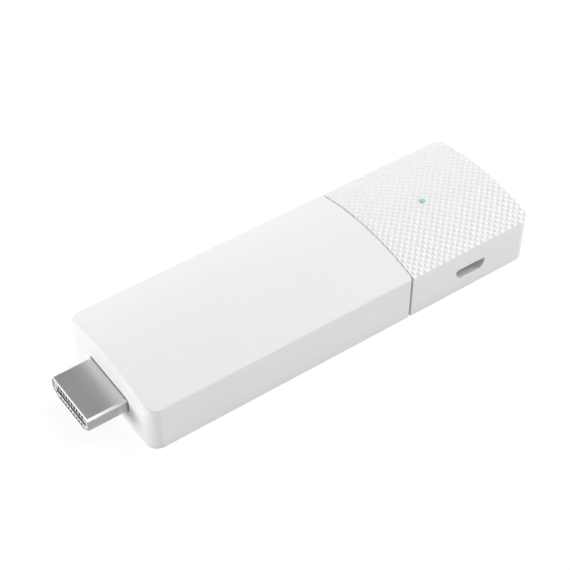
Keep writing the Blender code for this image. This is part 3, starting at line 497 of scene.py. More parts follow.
def screw_shape():
    """One screw about the z axis at the frame's own heights."""
    head_base = screw_high.z - SCREW_HEAD_HEIGHT
    rim = head_base + SCREW_RIM
    wide, thin = SCREW_HEAD / 2, SCREW_SHANK / 2
    profile = [(thin * SCREW_TIP_FLAT, screw_low.z), (thin, screw_low.z + SCREW_TIP)]
    profile += [(thin, head_base), (wide, head_base)]
    for sine, cosine in quarter(SCREW_HEAD_STEPS)[:-1]:
        reach = wide * (SCREW_FLAT + (1 - SCREW_FLAT) * cosine)
        profile.append((reach, rim + (screw_high.z - rim) * sine))
    screw = piece("screw", turned(0.0, 0.0, profile, SCREW_ROUND_STEPS))
    for along, across in ((RECESS_SPAN, RECESS_WIDTH), (RECESS_WIDTH, RECESS_SPAN)):
        low = Vector((-along / 2, -across / 2, screw_high.z - RECESS_DEPTH))
        carve(screw, piece("recess", block(low, (along / 2, across / 2, screw_high.z + CUT_PAST))))
    return melt(screw)


def screw_places(wires):
    """A screw at each corner of the rectangle that the four screws make."""
    corners = wires["Start"].add(
        "GeometryNodeMeshGrid",
        {},
        {"Size X": wires["Along"], "Size Y": wires["Across"], "Vertices X": 2, "Vertices Y": 2},
    )
    middle = corners.add("ShaderNodeCombineXYZ", {}, {"X": wires["Middle"]})
    corners = corners.add("GeometryNodeTransform", {}, {"Geometry": corners, "Translation": middle})
    return corners.add("GeometryNodeInstanceOnPoints", {}, {"Points": corners, "Instance": wires["Start"]})


screw_front, screw_rear = (screw_low.x + screw_high.x) / 2, (far_low.x + far_high.x) / 2
screw_side = (far_low.y + far_high.y) / 2
screw_sizes = {
    "Along": screw_rear - screw_front,
    "Across": 2 * screw_side,
    "Middle": (screw_front + screw_rear) / 2,
}
screws = smooth(from_nodes("board_screws", screw_shape(), screw_sizes, DRAWN_STEEL, screw_places))
stand_for(screws, "plug_steel", *(f"board_screw_{k}" for k in range(1, SCREWS + 1)))


# Power socket
# A folded tube of tinned steel with a rolled lip, sunk in a notch of the board and soldered by a wing on each
# side. A black moulded tongue closes its back and carries five gold-plated strips that step up to the board.

SOCKET_SIDE = 1.1 * MM
SOCKET_BASE = 5.6 * MM
SOCKET_CORNER = 0.4 * MM
SOCKET_WIDTH = 7.5 * MM
SOCKET_SHEET = 0.3 * MM
SOCKET_LIP = 0.15 * MM
SOCKET_WINGS = (-11.3 * MM, -9.2 * MM)
SOCKET_STRIPS = 5
SOCKET_STRIP_PITCH = 0.65 * MM
STRIP_SHEET = 0.15 * MM
STRIP_BEND = 0.2 * MM
STRIP_STEP = 0.35 * MM
ARC_STEPS = 6
LIP_STEPS = 8
LEAST_CORNER = 0.12 * MM
NEARLY_STRAIGHT = 0.001
MERGE = 0.001 * MM
GOLD = (0.86, 0.62, 0.26, 1.0)
GOLD_PALE = (0.95, 0.76, 0.42, 1.0)
GOLD_WIPE = 900.0
GOLD_RELIEF = 0.001 * MM


def gold_plate(place):
    wipe = place.noise(GOLD_WIPE, detail=3.0)
    return {
        "Base Color": wipe.mix(GOLD, GOLD_PALE),
        "Metallic": 1.0,
        "Roughness": 0.18 + 0.15 * wipe,
        "Normal": wipe.bump(GOLD_RELIEF),
    }


GOLD_PLATE = finish("gold_plating", gold_plate)


def arc_at(before, corner, after, radius):
    """The points of an arc that rounds a corner between two lines."""
    corner = Vector(corner)
    back = (Vector(before) - corner).normalized()
    on = (Vector(after) - corner).normalized()
    half = back.angle(on) / 2
    if math.pi / 2 - half < NEARLY_STRAIGHT:
        return [corner]
    centre = corner + (back + on).normalized() * (radius / math.sin(half))
    first = corner + back * (radius / math.tan(half)) - centre
    turn = (math.pi - 2 * half) * (1 if back.cross(on) < 0 else -1)
    points = []
    for k in range(ARC_STEPS + 1):
        points.append(centre + Matrix.Rotation(turn * k / ARC_STEPS, 2) @ first)
    return points


def d_outline(sizes, grow):
    """The D of a plug or socket, grown all round: flat top, upright sides and slanted lower corners."""
    width, top, height, side, base, radius = sizes
    half, high, low = width / 2 + grow, top + grow, top - height - grow
    run, fall = (width - base) / 2, height - side
    slant = math.hypot(run, fall)
    side_end = top - side - grow * (slant - run) / fall
    foot = base / 2 + grow * (slant - fall) / run
    corners = [(half, high), (-half, high), (-half, side_end), (-foot, low), (foot, low), (half, side_end)]
    line = []
    for k, corner in enumerate(corners):
        after = corners[(k + 1) % len(corners)]
        line += arc_at(corners[k - 1], corner, after, max(radius + grow, LEAST_CORNER))
    return line


def d_rings(sizes, stations, place):
    """The D at a row of (depth, grow) stations. place() puts a point of the D at a depth."""
    rings = []
    for depth, grow in stations:
        rings.append([place(across, height, depth) for across, height in d_outline(sizes, grow)])
    return rings


def sheet_tube(sizes, sheet, lip_depth, mouth, back, place):
    """A D-shaped tube of sheet metal with a rolled lip at its mouth."""
    lip = sheet / 2
    toward = math.copysign(lip_depth, back - mouth)
    stations = [(back, 0.0)]
    for k in range(2 * LIP_STEPS + 1):
        angle = math.pi * k / (2 * LIP_STEPS)
        stations.append((mouth + toward * (1 - math.sin(angle)), -lip * (1 - math.cos(angle))))
    stations.append((back, -sheet))
    return skin(d_rings(sizes, stations, place), loop=True)


def node_copy(node, low=None, high=None):
    """A closed copy of a CAD node's mesh, or of the part of it in a box."""
    shape = bmesh.new()
    shape.from_mesh(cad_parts[node].data)
    bmesh.ops.remove_doubles(shape, verts=shape.verts, dist=MERGE)
    copy = piece("inside", shape)
    copy.data.attributes.remove(copy.data.attributes["custom_normal"])
    if low:
        carve(copy, piece("box", block(low, high)), "INTERSECT")
    return copy


def strip_shape(line, width, place):
    """A thin bent strip of even sheet along a line of (run, height) pairs, as wide as it is stamped."""
    bent = [Vector(line[0])]
    for before, corner, after in zip(line, line[1:], line[2:]):
        bent += arc_at(before, corner, after, STRIP_BEND)
    bent.append(Vector(line[-1]))
    left, right = [], []
    for k, point in enumerate(bent):
        heading = (bent[min(k + 1, len(bent) - 1)] - bent[max(k - 1, 0)]).normalized()
        normal = Vector((-heading.y, heading.x)) * (STRIP_SHEET / 2)
        left.append(point + normal)
        right.append(point - normal)
    outline = left + right[::-1]
    return skin([[place(run, height, side) for run, height in outline] for side in (-width / 2, width / 2)])


def strip_row(wires):
    """Copies of one strip side by side, a pitch apart, about the middle of the row."""
    count, pitch = wires["Count"], wires["Pitch"]
    first = wires["Middle"] - pitch * (count - 1) * 0.5
    along, across = wires["Along X"], 1 - wires["Along X"]
    start = count.add("ShaderNodeCombineXYZ", {}, {"X": first * along, "Y": first * across})
    stride = count.add("ShaderNodeCombineXYZ", {}, {"X": pitch * along, "Y": pitch * across})
    row = count.add("GeometryNodeMeshLine", {}, {"Count": count, "Start Location": start, "Offset": stride})
    return count.add("GeometryNodeInstanceOnPoints", {}, {"Points": row, "Instance": wires["Start"]})


socket_low, socket_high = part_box("usb_shell")
socket_middle = (socket_low.x + socket_high.x) / 2
SOCKET = (
    SOCKET_WIDTH,
    socket_high.z,
    socket_high.z - socket_low.z,
    SOCKET_SIDE,
    SOCKET_BASE,
    SOCKET_CORNER,
)


def in_side(across, height, depth):
    """A point of the D on the near side of the stick."""
    return socket_middle + across, depth, height


tube = sheet_tube(SOCKET, SOCKET_SHEET, SOCKET_LIP, socket_low.y, socket_high.y, in_side)
tube = piece("socket_tube", tube)
wings = node_copy(
    "usb_shell",
    (socket_low.x - CUT_PAST, SOCKET_WINGS[0], socket_low.z - CUT_PAST),
    (socket_high.x + CUT_PAST, SOCKET_WINGS[1], socket_high.z + CUT_PAST),
)
carve(tube, wings, "UNION")
coat(tube, TINNED_SHEET)
stand_for(smooth(tube), "plug_steel", "usb_shell")

dress(BLACK_RESIN, "usb_tongue")

strip_low, strip_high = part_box("usb_contact_1")
strip_run = strip_low.z + STRIP_SHEET / 2
strip_pad = strip_high.z - STRIP_SHEET / 2
strip_step = socket_high.y + STRIP_STEP
socket_strip = strip_shape(
    [(strip_low.y, strip_run), (strip_step, strip_run), (strip_step, strip_pad), (strip_high.y, strip_pad)],
    strip_high.x - strip_low.x,
    lambda run, height, side: (side, run, height),
)
socket_row = {
    "Count": SOCKET_STRIPS,
    "Pitch": SOCKET_STRIP_PITCH,
    "Middle": socket_middle,
    "Along X": 1,
}
strips = from_nodes("socket_strips", socket_strip, socket_row, GOLD_PLATE, strip_row)
stand_for(smooth(strips), "gold_plate", *(f"usb_contact_{k}" for k in range(1, SOCKET_STRIPS + 1)))


# Display plug
# A drawn steel tube with a rolled lip, round a grey moulded block that has a slot for the mating tongue and a
# channel for each of its nineteen gold-plated strips. Feet at its back are soldered to the board.

PLUG_SIDE = 3.0 * MM
PLUG_BASE = 9.6 * MM
PLUG_CORNER = 0.5 * MM
PLUG_SHEET = 0.3 * MM
PLUG_LIP = 0.32 * MM
PLUG_TAIL = 4.4 * MM
PLUG_FEET_LAP = 0.25 * MM
PLUG_STRIP_PITCH = 1.0 * MM
UPPER_STRIPS = 10
LOWER_STRIPS = 9
STRIP_RUN = 1.05 * MM
STRIP_BOW = 0.525 * MM
STRIP_PAD = 0.675 * MM
SLOT_WIDTH = 11.2 * MM
SLOT_HALF = 0.6 * MM
SLOT_BELOW_MIDDLE = 0.4 * MM
LEAD_IN_DEPTH = 0.20 * MM
LEAD_IN_DROP = 0.26 * MM
JAW_LIP = 0.38 * MM
ROOF_LIP = 0.10 * MM
MOUTH_WIDTH = 0.62 * MM
MOUTHS = {"upper": (0.80 * MM, 1.72 * MM), "lower": (0.98 * MM, 1.62 * MM)}
WINDOW_FRONT = 0.8 * MM
WINDOW_BACK = 5.4 * MM
STRIP_CLEAR = 0.1 * MM
TIP_EDGE = (0.21 * MM, 0.24 * MM)
TIP_BAND = (0.05 * MM, 0.11 * MM)
CORNER_BAND = 0.7
CORNER_FADE = 0.75
FADE_LENGTH = 9.0 * MM
TOP_REFLECTION_START = 0.3
FLANK_REFLECTION_START = 0.65
EDGE_HIGHLIGHT_ROUGHNESS = 0.35
JAW_BLEND = 0.2 * MM
CHANNEL_BLEND = 0.02 * MM
CHANNEL_START = (0.01 * MM, 0.03 * MM)
SHADE_DEPTH = 0.24 * MM
NYLON_FLOW = 700.0
NYLON_GRAIN = 6000.0
NYLON_RELIEF = 0.004 * MM
PAINTED_EDGE_HIGHLIGHT = (0.92, 0.92, 0.92, 1.0)
STEEL_PAINTED_REFLECTION = (0.66, 0.67, 0.68, 1.0)
STEEL_PAINTED_SHADE = (0.37, 0.38, 0.39, 1.0)
INSULATOR_GREY = (0.46, 0.465, 0.47, 1.0)
INSULATOR_PALE = (0.54, 0.545, 0.55, 1.0)
INSULATOR_PAINTED_LIGHT = (0.93, 0.93, 0.93, 1.0)
INSULATOR_PAINTED_SHADE = (0.015, 0.015, 0.016, 1.0)

plug_low, plug_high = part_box("plug_shell")
insulator_low, insulator_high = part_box("plug_insulator")
SLOT_MIDDLE = (plug_low.z + plug_high.z) / 2 - SLOT_BELOW_MIDDLE
PLUG_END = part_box("front_case")[0].x


def plug_steel(place):
    """Drawn steel with painted light: a painted highlight along the tip and upper edges, painted shade on the
    sides, and a painted reflection that pales it towards the casing.
    """
    values = drawn_steel(place)
    behind = place.part(0) - plug_low.x
    under = plug_high.z - place.part(2)
    inside = plug_high.y - place.math("ABSOLUTE", place.part(1))
    # Painted highlight: a near-white line along the top of the tip's edge and along the upper corners,
    # dimming away from the tip.
    tip = (1 - behind.step(*TIP_EDGE)) * (1 - under.step(*TIP_BAND))
    high = 1 - under.step(CORNER_BAND * PLUG_CORNER, PLUG_CORNER)
    corner = 1 - inside.step(CORNER_BAND * PLUG_CORNER, PLUG_CORNER)
    fade = 1 - CORNER_FADE * behind.step(0.0, FADE_LENGTH)
    edge_highlight = high * place.math("MAXIMUM", tip, corner * fade)
    # Painted reflection of the casing's end: the top, and nearer the casing also the sides, are painted paler
    # towards the casing. Below the top, the sides are painted shade, a plain darker steel.
    top_reflection = behind.step(TOP_REFLECTION_START * FADE_LENGTH, FADE_LENGTH)
    flank_reflection = behind.step(FLANK_REFLECTION_START * FADE_LENGTH, FADE_LENGTH)
    upper = edge_highlight.mix(top_reflection.mix(values["Base Color"], STEEL_PAINTED_REFLECTION), PAINTED_EDGE_HIGHLIGHT)
    values["Base Color"] = high.mix(flank_reflection.mix(STEEL_PAINTED_SHADE, STEEL_PAINTED_REFLECTION), upper)
    values["Roughness"] = values["Roughness"] + edge_highlight * EDGE_HIGHLIGHT_ROUGHNESS
    return values


def moulded_grey(place):
    """Grey nylon, with painted light on the lower jaw, which is painted near white, and painted shade in the
    channels and deep in the slot.
    """
    flow = place.noise(NYLON_FLOW, detail=3.0, stretch=(0.3, 1.0, 1.0))
    grain = place.noise(NYLON_GRAIN)
    behind = place.part(0) - insulator_low.x
    above = place.part(2) - SLOT_MIDDLE
    # Painted light: below the slot's middle, the jaw is painted near white as its lit face, and above it the
    # block keeps the plain grey.
    jaw = 1 - above.step(-JAW_BLEND, 0.0)
    upper, lower = (row[0] for row in MOUTHS.values())
    # Painted shade: near black in the strips' channels and everywhere behind the lead-in, deep in the slot.
    channel = above.step(upper - CHANNEL_BLEND, upper) + (0 - above).step(lower - CHANNEL_BLEND, lower)
    channel = channel * behind.step(*CHANNEL_START)
    painted_shade = place.math("MAXIMUM", channel, behind.step(LEAD_IN_DEPTH, SHADE_DEPTH))
    face = jaw.mix((flow * 0.7 + grain * 0.3).mix(INSULATOR_GREY, INSULATOR_PALE), INSULATOR_PAINTED_LIGHT)
    return {
        "Base Color": painted_shade.mix(face, INSULATOR_PAINTED_SHADE),
        "Roughness": 0.42 + 0.2 * flow,
        "Specular IOR Level": 0.15,
        "Normal": grain.bump(NYLON_RELIEF),
    }


PLUG_STEEL = finish("plug_steel_drawn", plug_steel)
PLUG = (
    plug_high.y - plug_low.y,
    plug_high.z,
    plug_high.z - plug_low.z,
    PLUG_SIDE,
    PLUG_BASE,
    PLUG_CORNER,
)
plug_back = PLUG_END + PLUG_TAIL


def in_end(across, height, depth):
    """A point of the D on the plug end of the stick."""
    return depth, across, height


tube = piece("plug_tube", sheet_tube(PLUG, PLUG_SHEET, PLUG_LIP, plug_low.x, plug_back, in_end))
feet = node_copy(
    "plug_shell",
    (plug_back - PLUG_FEET_LAP, plug_low.y - CUT_PAST, plug_low.z - CUT_PAST),
    (plug_high.x + CUT_PAST, plug_high.y + CUT_PAST, plug_high.z + CUT_PAST),
)
carve(tube, feet, "UNION")
coat(tube, PLUG_STEEL)
stand_for(smooth(tube), "plug_steel", "plug_shell")

insulator = node_copy("plug_insulator")
face = insulator_low.x
half_slot = SLOT_WIDTH / 2
jaw, roof = SLOT_MIDDLE - SLOT_HALF, SLOT_MIDDLE + SLOT_HALF
for low, high in (jaw - JAW_LIP, jaw), (roof - ROOF_LIP, roof + ROOF_LIP):
    lip = block((face, -half_slot, low), (face + LEAD_IN_DEPTH, half_slot, high))
    carve(insulator, piece("lip", lip), "UNION")
wedge = [(face - CUT_PAST, jaw), (face + LEAD_IN_DEPTH, jaw)]
wedge += [(face, jaw - LEAD_IN_DROP), (face - CUT_PAST, jaw - LEAD_IN_DROP)]
carve(insulator, piece("lead_in", skin([[(x, y, z) for x, z in wedge] for y in (-half_slot, half_slot)])))
GREY_MOULDING = finish("grey_moulding", moulded_grey)
board_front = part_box("main_board")[0].x
window_front, window_back = face + WINDOW_FRONT, face + WINDOW_BACK
for row, up, count in ("upper", 1, UPPER_STRIPS), ("lower", -1, LOWER_STRIPS):
    one_low, one_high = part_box(f"plug_contact_{row}_1")
    pad = STRIP_PAD + up * SLOT_BELOW_MIDDLE
    line = [
        (one_low.x, STRIP_RUN + STRIP_SHEET),
        (window_front + STRIP_SHEET, STRIP_RUN),
        ((window_front + window_back) / 2, STRIP_BOW),
        (window_back - STRIP_SHEET, STRIP_RUN),
        (insulator_high.x + STRIP_CLEAR, STRIP_RUN),
        (board_front + STRIP_SHEET, pad),
        (one_high.x, pad),
    ]
    line = [(run, SLOT_MIDDLE + up * away) for run, away in line]
    one = strip_shape(line, one_high.y - one_low.y, lambda run, height, side: (run, side, height))
    sizes = {"Count": count, "Pitch": PLUG_STRIP_PITCH, "Middle": 0.0, "Along X": 0}
    strips = from_nodes(f"plug_strips_{row}", one, sizes, GOLD_PLATE, strip_row)
    stand_for(smooth(strips), "gold_plate", *(f"plug_contact_{row}_{k}" for k in range(1, count + 1)))
    near, far = (SLOT_MIDDLE + up * away for away in MOUTHS[row])
    low = (face - CUT_PAST, -MOUTH_WIDTH / 2, min(near, far))
    high = (face + LEAD_IN_DEPTH, MOUTH_WIDTH / 2, max(near, far))
    carve(insulator, from_nodes("mouths", block(low, high), sizes, GREY_MOULDING, strip_row))
coat(insulator, GREY_MOULDING)
insulator.name = "plug_block"
stand_for(smooth(insulator), "grey_insulator", "plug_insulator")


# Front case
# The lower shell at the plug end, injection moulded in white ABS with a fine even spark grain. Ledges inside
# catch its cover's hooks, and a spigot at the seam slides into the rear case.

CORNER_RADIUS = 2.7 * MM
BASE_FILLET = 0.15 * MM
SEAM_EDGE = 0.12 * MM
RIM_EDGE = 0.03 * MM
RIM_HEIGHT = 8.85 * MM
SEAM_GAP = 0.52 * MM
SEAM_BACKED_OFF = 0.01 * MM
SKIN_DEPTH = 0.6 * MM
INSIDE_DEPTH = 0.3 * MM
MOUTH_CLEARANCE = 0.36 * MM
MOUTH_EDGE = 0.04 * MM
MOUTH_DEPTH = 3.0 * MM
CORNER_STEPS = 14
CROWN_STEPS = 64
FILLET_STEPS = 6
WHITE = (0.81, 0.81, 0.81, 1.0)
WHITE_PALE = (0.85, 0.85, 0.85, 1.0)
WHITE_CLOUD = 45.0
SPARK_GRAIN = 9000.0
SPARK_RELIEF = 0.004 * MM

HALF_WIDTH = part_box("front_case")[1].y
REAR_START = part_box("rear_case")[0].x
SEAM = REAR_START - SEAM_GAP - SEAM_BACKED_OFF
REAR_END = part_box("rear_case")[1].x
SPIGOT_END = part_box("front_case")[1].x
LIP_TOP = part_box("front_case")[1].z


def white_moulding(place):
    grain = place.noise(SPARK_GRAIN, detail=3.0)
    tone = place.noise(WHITE_CLOUD)
    return {
        "Base Color": (tone * 0.7 + grain * 0.3).mix(WHITE, WHITE_PALE),
        "Roughness": 0.52 + 0.12 * grain,
        "Specular IOR Level": 0.2,
        "Normal": grain.bump(SPARK_RELIEF, strength=0.6),
    }


WHITE_MOULDING = finish("white_moulding", white_moulding)


def end_line(x, inward, inset, corner):
    """One end of a shell's outline seen from above, from +Y to -Y. Every end has the same y levels."""
    half = HALF_WIDTH - inset
    turn = CORNER_RADIUS - inset
    straight = half - turn
    side = [straight + turn * math.cos(math.pi / 2 * k / CORNER_STEPS) for k in range(CORNER_STEPS + 1)]
    middle = [straight * (1 - 2 * k / CROWN_STEPS) for k in range(1, CROWN_STEPS)]
    points = []
    for y in side + middle + [-y for y in reversed(side)]:
        over = max(abs(y) - half + corner, 0.0)
        points.append((x + inward * (corner - math.sqrt(max(corner**2 - over**2, 0.0))), y))
    return points


def outline(round_x, seam_x, inset=0.0, seam_inset=0.0):
    """A shell's two ends seen from above: the rounded one, and the square one at the seam."""
    inward = math.copysign(1.0, seam_x - round_x)
    round_end = end_line(round_x + inward * inset, inward, inset, CORNER_RADIUS - inset)
    return round_end, end_line(seam_x - inward * seam_inset, -inward, inset, SEAM_EDGE)


def loft(rings):
    """Skins a stack of (outline, height) rings, where height is a function of y."""
    shape = bmesh.new()
    rows = []
    for ends, height in rings:
        rows.append([[shape.verts.new((x, y, height(y))) for x, y in end] for end in ends])
    for lower, upper in zip(rows, rows[1:]):
        below = lower[0] + lower[1][::-1]
        above = upper[0] + upper[1][::-1]
        for i in range(len(below)):
            shape.faces.new((below[i - 1], below[i], above[i], above[i - 1]))
    for first, second in (rows[0], rows[-1]):
        for i in range(len(first) - 1):
            shape.faces.new((first[i], first[i + 1], second[i + 1], second[i]))
    return shape


def level(z):
    """A height that is the same at every y."""
    return lambda y: z


def tray(round_x, seam_x):
    """The outside of a lower shell: a rounded base edge, upright walls and a fine edge at its rim."""
    rings = []
    for sine, cosine in quarter(FILLET_STEPS):
        ends = outline(round_x, seam_x, BASE_FILLET * (1 - sine), SEAM_EDGE * (1 - sine))
        rings.append((ends, level(BASE_FILLET * (1 - cosine))))
    for sine, cosine in quarter(FILLET_STEPS):
        ends = outline(round_x, seam_x, RIM_EDGE * (1 - cosine), RIM_EDGE * (1 - cosine))
        rings.append((ends, level(RIM_HEIGHT - RIM_EDGE * (1 - sine))))
    return loft(rings)


def upright(round_x, seam_x, inset, low, high):
    """The casing's inside at an inset, between two levels."""
    ends = outline(round_x, seam_x, inset)
    return loft([(ends, level(low)), (ends, level(high))])


def flared(sizes, grow, surface, outward, place):
    """A cutter for a D-shaped opening, with a fine bevel where it comes out of the casing."""
    wide = grow + MOUTH_EDGE
    stations = [(surface + outward * CUT_PAST, wide), (surface, wide)]
    stations += [(surface - outward * MOUTH_EDGE, grow), (surface - outward * MOUTH_DEPTH, grow)]
    return skin(d_rings(sizes, stations, place))


def refine(name, form, core, keep, node, material):
    """A shell with a fine outer skin, which overlaps the inside that is kept of its own CAD node."""
    shell = piece(name, form)
    carve(shell, piece("core", core))
    inside = node_copy(node)
    carve(inside, piece("keep", keep), "INTERSECT")
    carve(shell, inside, "UNION")
    coat(shell, material)
    return shell


front_case = refine(
    "front_case_shell",
    tray(PLUG_END, SEAM),
    upright(PLUG_END, SEAM + CUT_PAST, SKIN_DEPTH, SKIN_DEPTH, RIM_HEIGHT + CUT_PAST),
    upright(PLUG_END, SPIGOT_END + CUT_PAST, INSIDE_DEPTH, INSIDE_DEPTH, LIP_TOP + CUT_PAST),
    "front_case",
    WHITE_MOULDING,
)
carve(front_case, piece("mouth", flared(PLUG, MOUTH_CLEARANCE, PLUG_END, -1, in_end)))
stand_for(smooth(front_case), "white_plastic", "front_case")


# Rear case
# The lower shell at the far end, moulded like the front one. It slides over the spigot, and its near side is
# pierced by the rounded opening of the power socket.

SOCKET_CLEARANCE = 0.08 * MM

rear_case = refine(
    "rear_case_shell",
    tray(REAR_END, REAR_START + SEAM_BACKED_OFF),
    upright(REAR_END, REAR_START - CUT_PAST, SKIN_DEPTH, SKIN_DEPTH, RIM_HEIGHT + CUT_PAST),
    upright(REAR_END, REAR_START - CUT_PAST, INSIDE_DEPTH, INSIDE_DEPTH, LIP_TOP + CUT_PAST),
    "rear_case",
    WHITE_MOULDING,
)
carve(rear_case, piece("mouth", flared(SOCKET, SOCKET_CLEARANCE, -HALF_WIDTH, -1, in_side)))
stand_for(smooth(rear_case), "white_plastic", "rear_case")


# Front cover
# The smooth crowned lid over the plug end, in the same white grain, with a soft edge where its top meets its
# walls. It snaps onto the case by hooks. Its roof runs on under the rear cover as a spigot, with a step on it
# that fills the seam to just below the crown.

SIDE_HEIGHT = 11.2 * MM
TOP_FILLET = 0.2 * MM
COVER_RIM = 8.87 * MM
STEP_LENGTH = 3.0 * MM
STEP_CLEARANCE = 0.03 * MM
STEP_INSET = 0.8 * MM
STEP_DEPTH = 0.36 * MM
HOOK_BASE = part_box("front_cover")[0].z
CROWN_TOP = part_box("front_cover")[1].z
CROWN_RISE = CROWN_TOP - SIDE_HEIGHT
CROWN_RADIUS = (HALF_WIDTH**2 + CROWN_RISE**2) / (2 * CROWN_RISE)
CROWN_CENTRE = CROWN_TOP - CROWN_RADIUS


def crowned(depth=0.0, drop=0.0):
    """The height at y of the crown, of an arch a depth inside it, or of one that is dropped below it."""
    return lambda y: CROWN_CENTRE + math.sqrt((CROWN_RADIUS - depth) ** 2 - y**2) - drop


def walls(round_x, seam_x):
    """The lowest rings of a cover, with a fine edge at the parting line."""
    rings = []
    for sine, cosine in quarter(FILLET_STEPS):
        ends = outline(round_x, seam_x, RIM_EDGE * (1 - sine), RIM_EDGE * (1 - sine))
        rings.append((ends, level(COVER_RIM + RIM_EDGE * (1 - cosine))))
    return rings


def lid(round_x, seam_x):
    """The outside of the smooth cover."""
    rings = walls(round_x, seam_x)
    for sine, cosine in quarter(FILLET_STEPS):
        ends = outline(round_x, seam_x, TOP_FILLET * (1 - cosine), SEAM_EDGE * (1 - cosine))
        rings.append((ends, crowned(drop=TOP_FILLET * (1 - sine))))
    return loft(rings)


def arched(round_x, seam_x, inset, low, depth):
    """The inside of a cover at an inset, under an arch that lies a depth inside the crown."""
    ends = outline(round_x, seam_x, inset)
    return loft([(ends, level(low)), (ends, crowned(depth))])


front_cover = refine(
    "front_cover_shell",
    lid(PLUG_END, SEAM),
    arched(PLUG_END, SEAM + CUT_PAST, SKIN_DEPTH, COVER_RIM - CUT_PAST, SKIN_DEPTH),
    arched(PLUG_END, SPIGOT_END + CUT_PAST, INSIDE_DEPTH, HOOK_BASE - CUT_PAST, INSIDE_DEPTH),
    "front_cover",
    WHITE_MOULDING,
)
step_end = REAR_START - STEP_CLEARANCE
step = arched(SEAM - STEP_LENGTH, step_end, STEP_INSET, SIDE_HEIGHT - STEP_INSET, STEP_DEPTH)
carve(front_cover, piece("step", step), "UNION")
coat(front_cover, WHITE_MOULDING)
stand_for(smooth(front_cover), "white_plastic", "front_cover")


# Rear cover
# The lid over the far end, moulded in white with a field of small four-sided points set cornerwise over its
# whole crown. The points are cut off square at the walls, and a round hole lets the status light through.

HALF_DIAGONAL = 0.845 * MM
POINT_DEPTH = 0.28 * MM
RIDGE_SOFTNESS = 0.04
VALLEY_SOFTNESS = 0.012
GRID_PER_HALF_DIAGONAL = 6
RELIEF_SKIN_DEPTH = 0.75 * MM
RELIEF_INSIDE_DEPTH = 0.55 * MM
LIGHT_HOLE = 1.3 * MM
LIGHT_HOLE_EDGE = 0.08 * MM
LIGHT_STEPS = 48
RELIEF_CLOUD = 60.0
RELIEF_GRAIN_HEIGHT = 0.003 * MM


def relief_moulding(place):
    grain = place.noise(SPARK_GRAIN, detail=3.0)
    tone = place.noise(RELIEF_CLOUD)
    return {
        "Base Color": (tone * 0.7 + grain * 0.3).mix(WHITE, WHITE_PALE),
        "Roughness": 0.34 + 0.12 * grain,
        "Normal": grain.bump(RELIEF_GRAIN_HEIGHT, strength=0.6),
    }


RELIEF_MOULDING = finish("relief_moulding", relief_moulding)


def point_field(wires):
    """A block whose arched top is a field of four-sided points with slightly rounded ridges."""
    start = wires["Start"]
    size = start.add("ShaderNodeCombineXYZ", {}, {"X": wires["Length"], "Y": wires["Width"], "Z": 1.0})
    counts = {"Size": size, "Vertices X": wires["Count X"], "Vertices Y": wires["Count Y"], "Vertices Z": 2}
    grid = start.add("GeometryNodeMeshCube", {}, counts)
    position = start.add("GeometryNodeInputPosition")
    x, y = position.part(0) + wires["Middle"], position.part(1)
    on_top = start.math("GREATER_THAN", position.part(2), 0.0)
    along, across = x / wires["Half Diagonal"], y / wires["Half Diagonal"]
    # Each point stands where both slanted coordinates are whole, and the valleys run half-way between.
    rising = start.math("PINGPONG", (along + across) * 0.5, 0.5)
    falling = start.math("PINGPONG", (along - across) * 0.5, 0.5)
    away = 0.5 - start.math("SMOOTH_MAX", rising, falling, wires["Ridge Softness"])
    valley = wires["Valley Softness"]
    rounded = start.math("SQRT", away * away + valley * valley)
    sunk = wires["Depth"] * (1 - 2 * rounded)
    radius = wires["Crown Radius"] - sunk
    top = wires["Crown Centre"] + start.math("SQRT", radius * radius - y * y)
    z = wires["Base"] + (top - wires["Base"]) * on_top
    moved = start.add("ShaderNodeCombineXYZ", {}, {"X": x, "Y": y, "Z": z})
    return grid.add("GeometryNodeSetPosition", {}, {"Geometry": grid, "Position": moved})


field_front = math.floor(REAR_START / HALF_DIAGONAL) - 1
field_rear = math.ceil(REAR_END / HALF_DIAGONAL) + 1
field_side = math.ceil(HALF_WIDTH / HALF_DIAGONAL) + 1
field_sizes = {
    "Length": (field_rear - field_front) * HALF_DIAGONAL,
    "Width": 2 * field_side * HALF_DIAGONAL,
    "Middle": (field_front + field_rear) / 2 * HALF_DIAGONAL,
    "Count X": (field_rear - field_front) * GRID_PER_HALF_DIAGONAL + 1,
    "Count Y": 2 * field_side * GRID_PER_HALF_DIAGONAL + 1,
    "Half Diagonal": HALF_DIAGONAL,
    "Depth": POINT_DEPTH,
    "Ridge Softness": RIDGE_SOFTNESS,
    "Valley Softness": VALLEY_SOFTNESS,
    "Crown Radius": CROWN_RADIUS,
    "Crown Centre": CROWN_CENTRE,
    "Base": COVER_RIM - CUT_PAST,
}
field = from_nodes("point_field", bmesh.new(), field_sizes, RELIEF_MOULDING, point_field)
rear_seam = REAR_START + SEAM_BACKED_OFF
plan = walls(REAR_END, rear_seam)
plan.append((outline(REAR_END, rear_seam), level(CROWN_TOP + CUT_PAST)))
carve(field, piece("plan", loft(plan)), "INTERSECT")
rear_cover = refine(
    "rear_cover_shell",
    melt(field),
    arched(REAR_END, REAR_START - CUT_PAST, SKIN_DEPTH, COVER_RIM - CUT_PAST, RELIEF_SKIN_DEPTH),
    arched(REAR_END, REAR_START - CUT_PAST, INSIDE_DEPTH, HOOK_BASE - CUT_PAST, RELIEF_INSIDE_DEPTH),
    "rear_cover",
    RELIEF_MOULDING,
)
light_low, light_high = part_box("light_pipe")
light_x = (light_low.x + light_high.x) / 2
narrow, wide = LIGHT_HOLE / 2, LIGHT_HOLE / 2 + LIGHT_HOLE_EDGE
hole = [(narrow, COVER_RIM), (narrow, CROWN_TOP - LIGHT_HOLE_EDGE)]
hole += [(wide, CROWN_TOP), (wide, CROWN_TOP + CUT_PAST)]
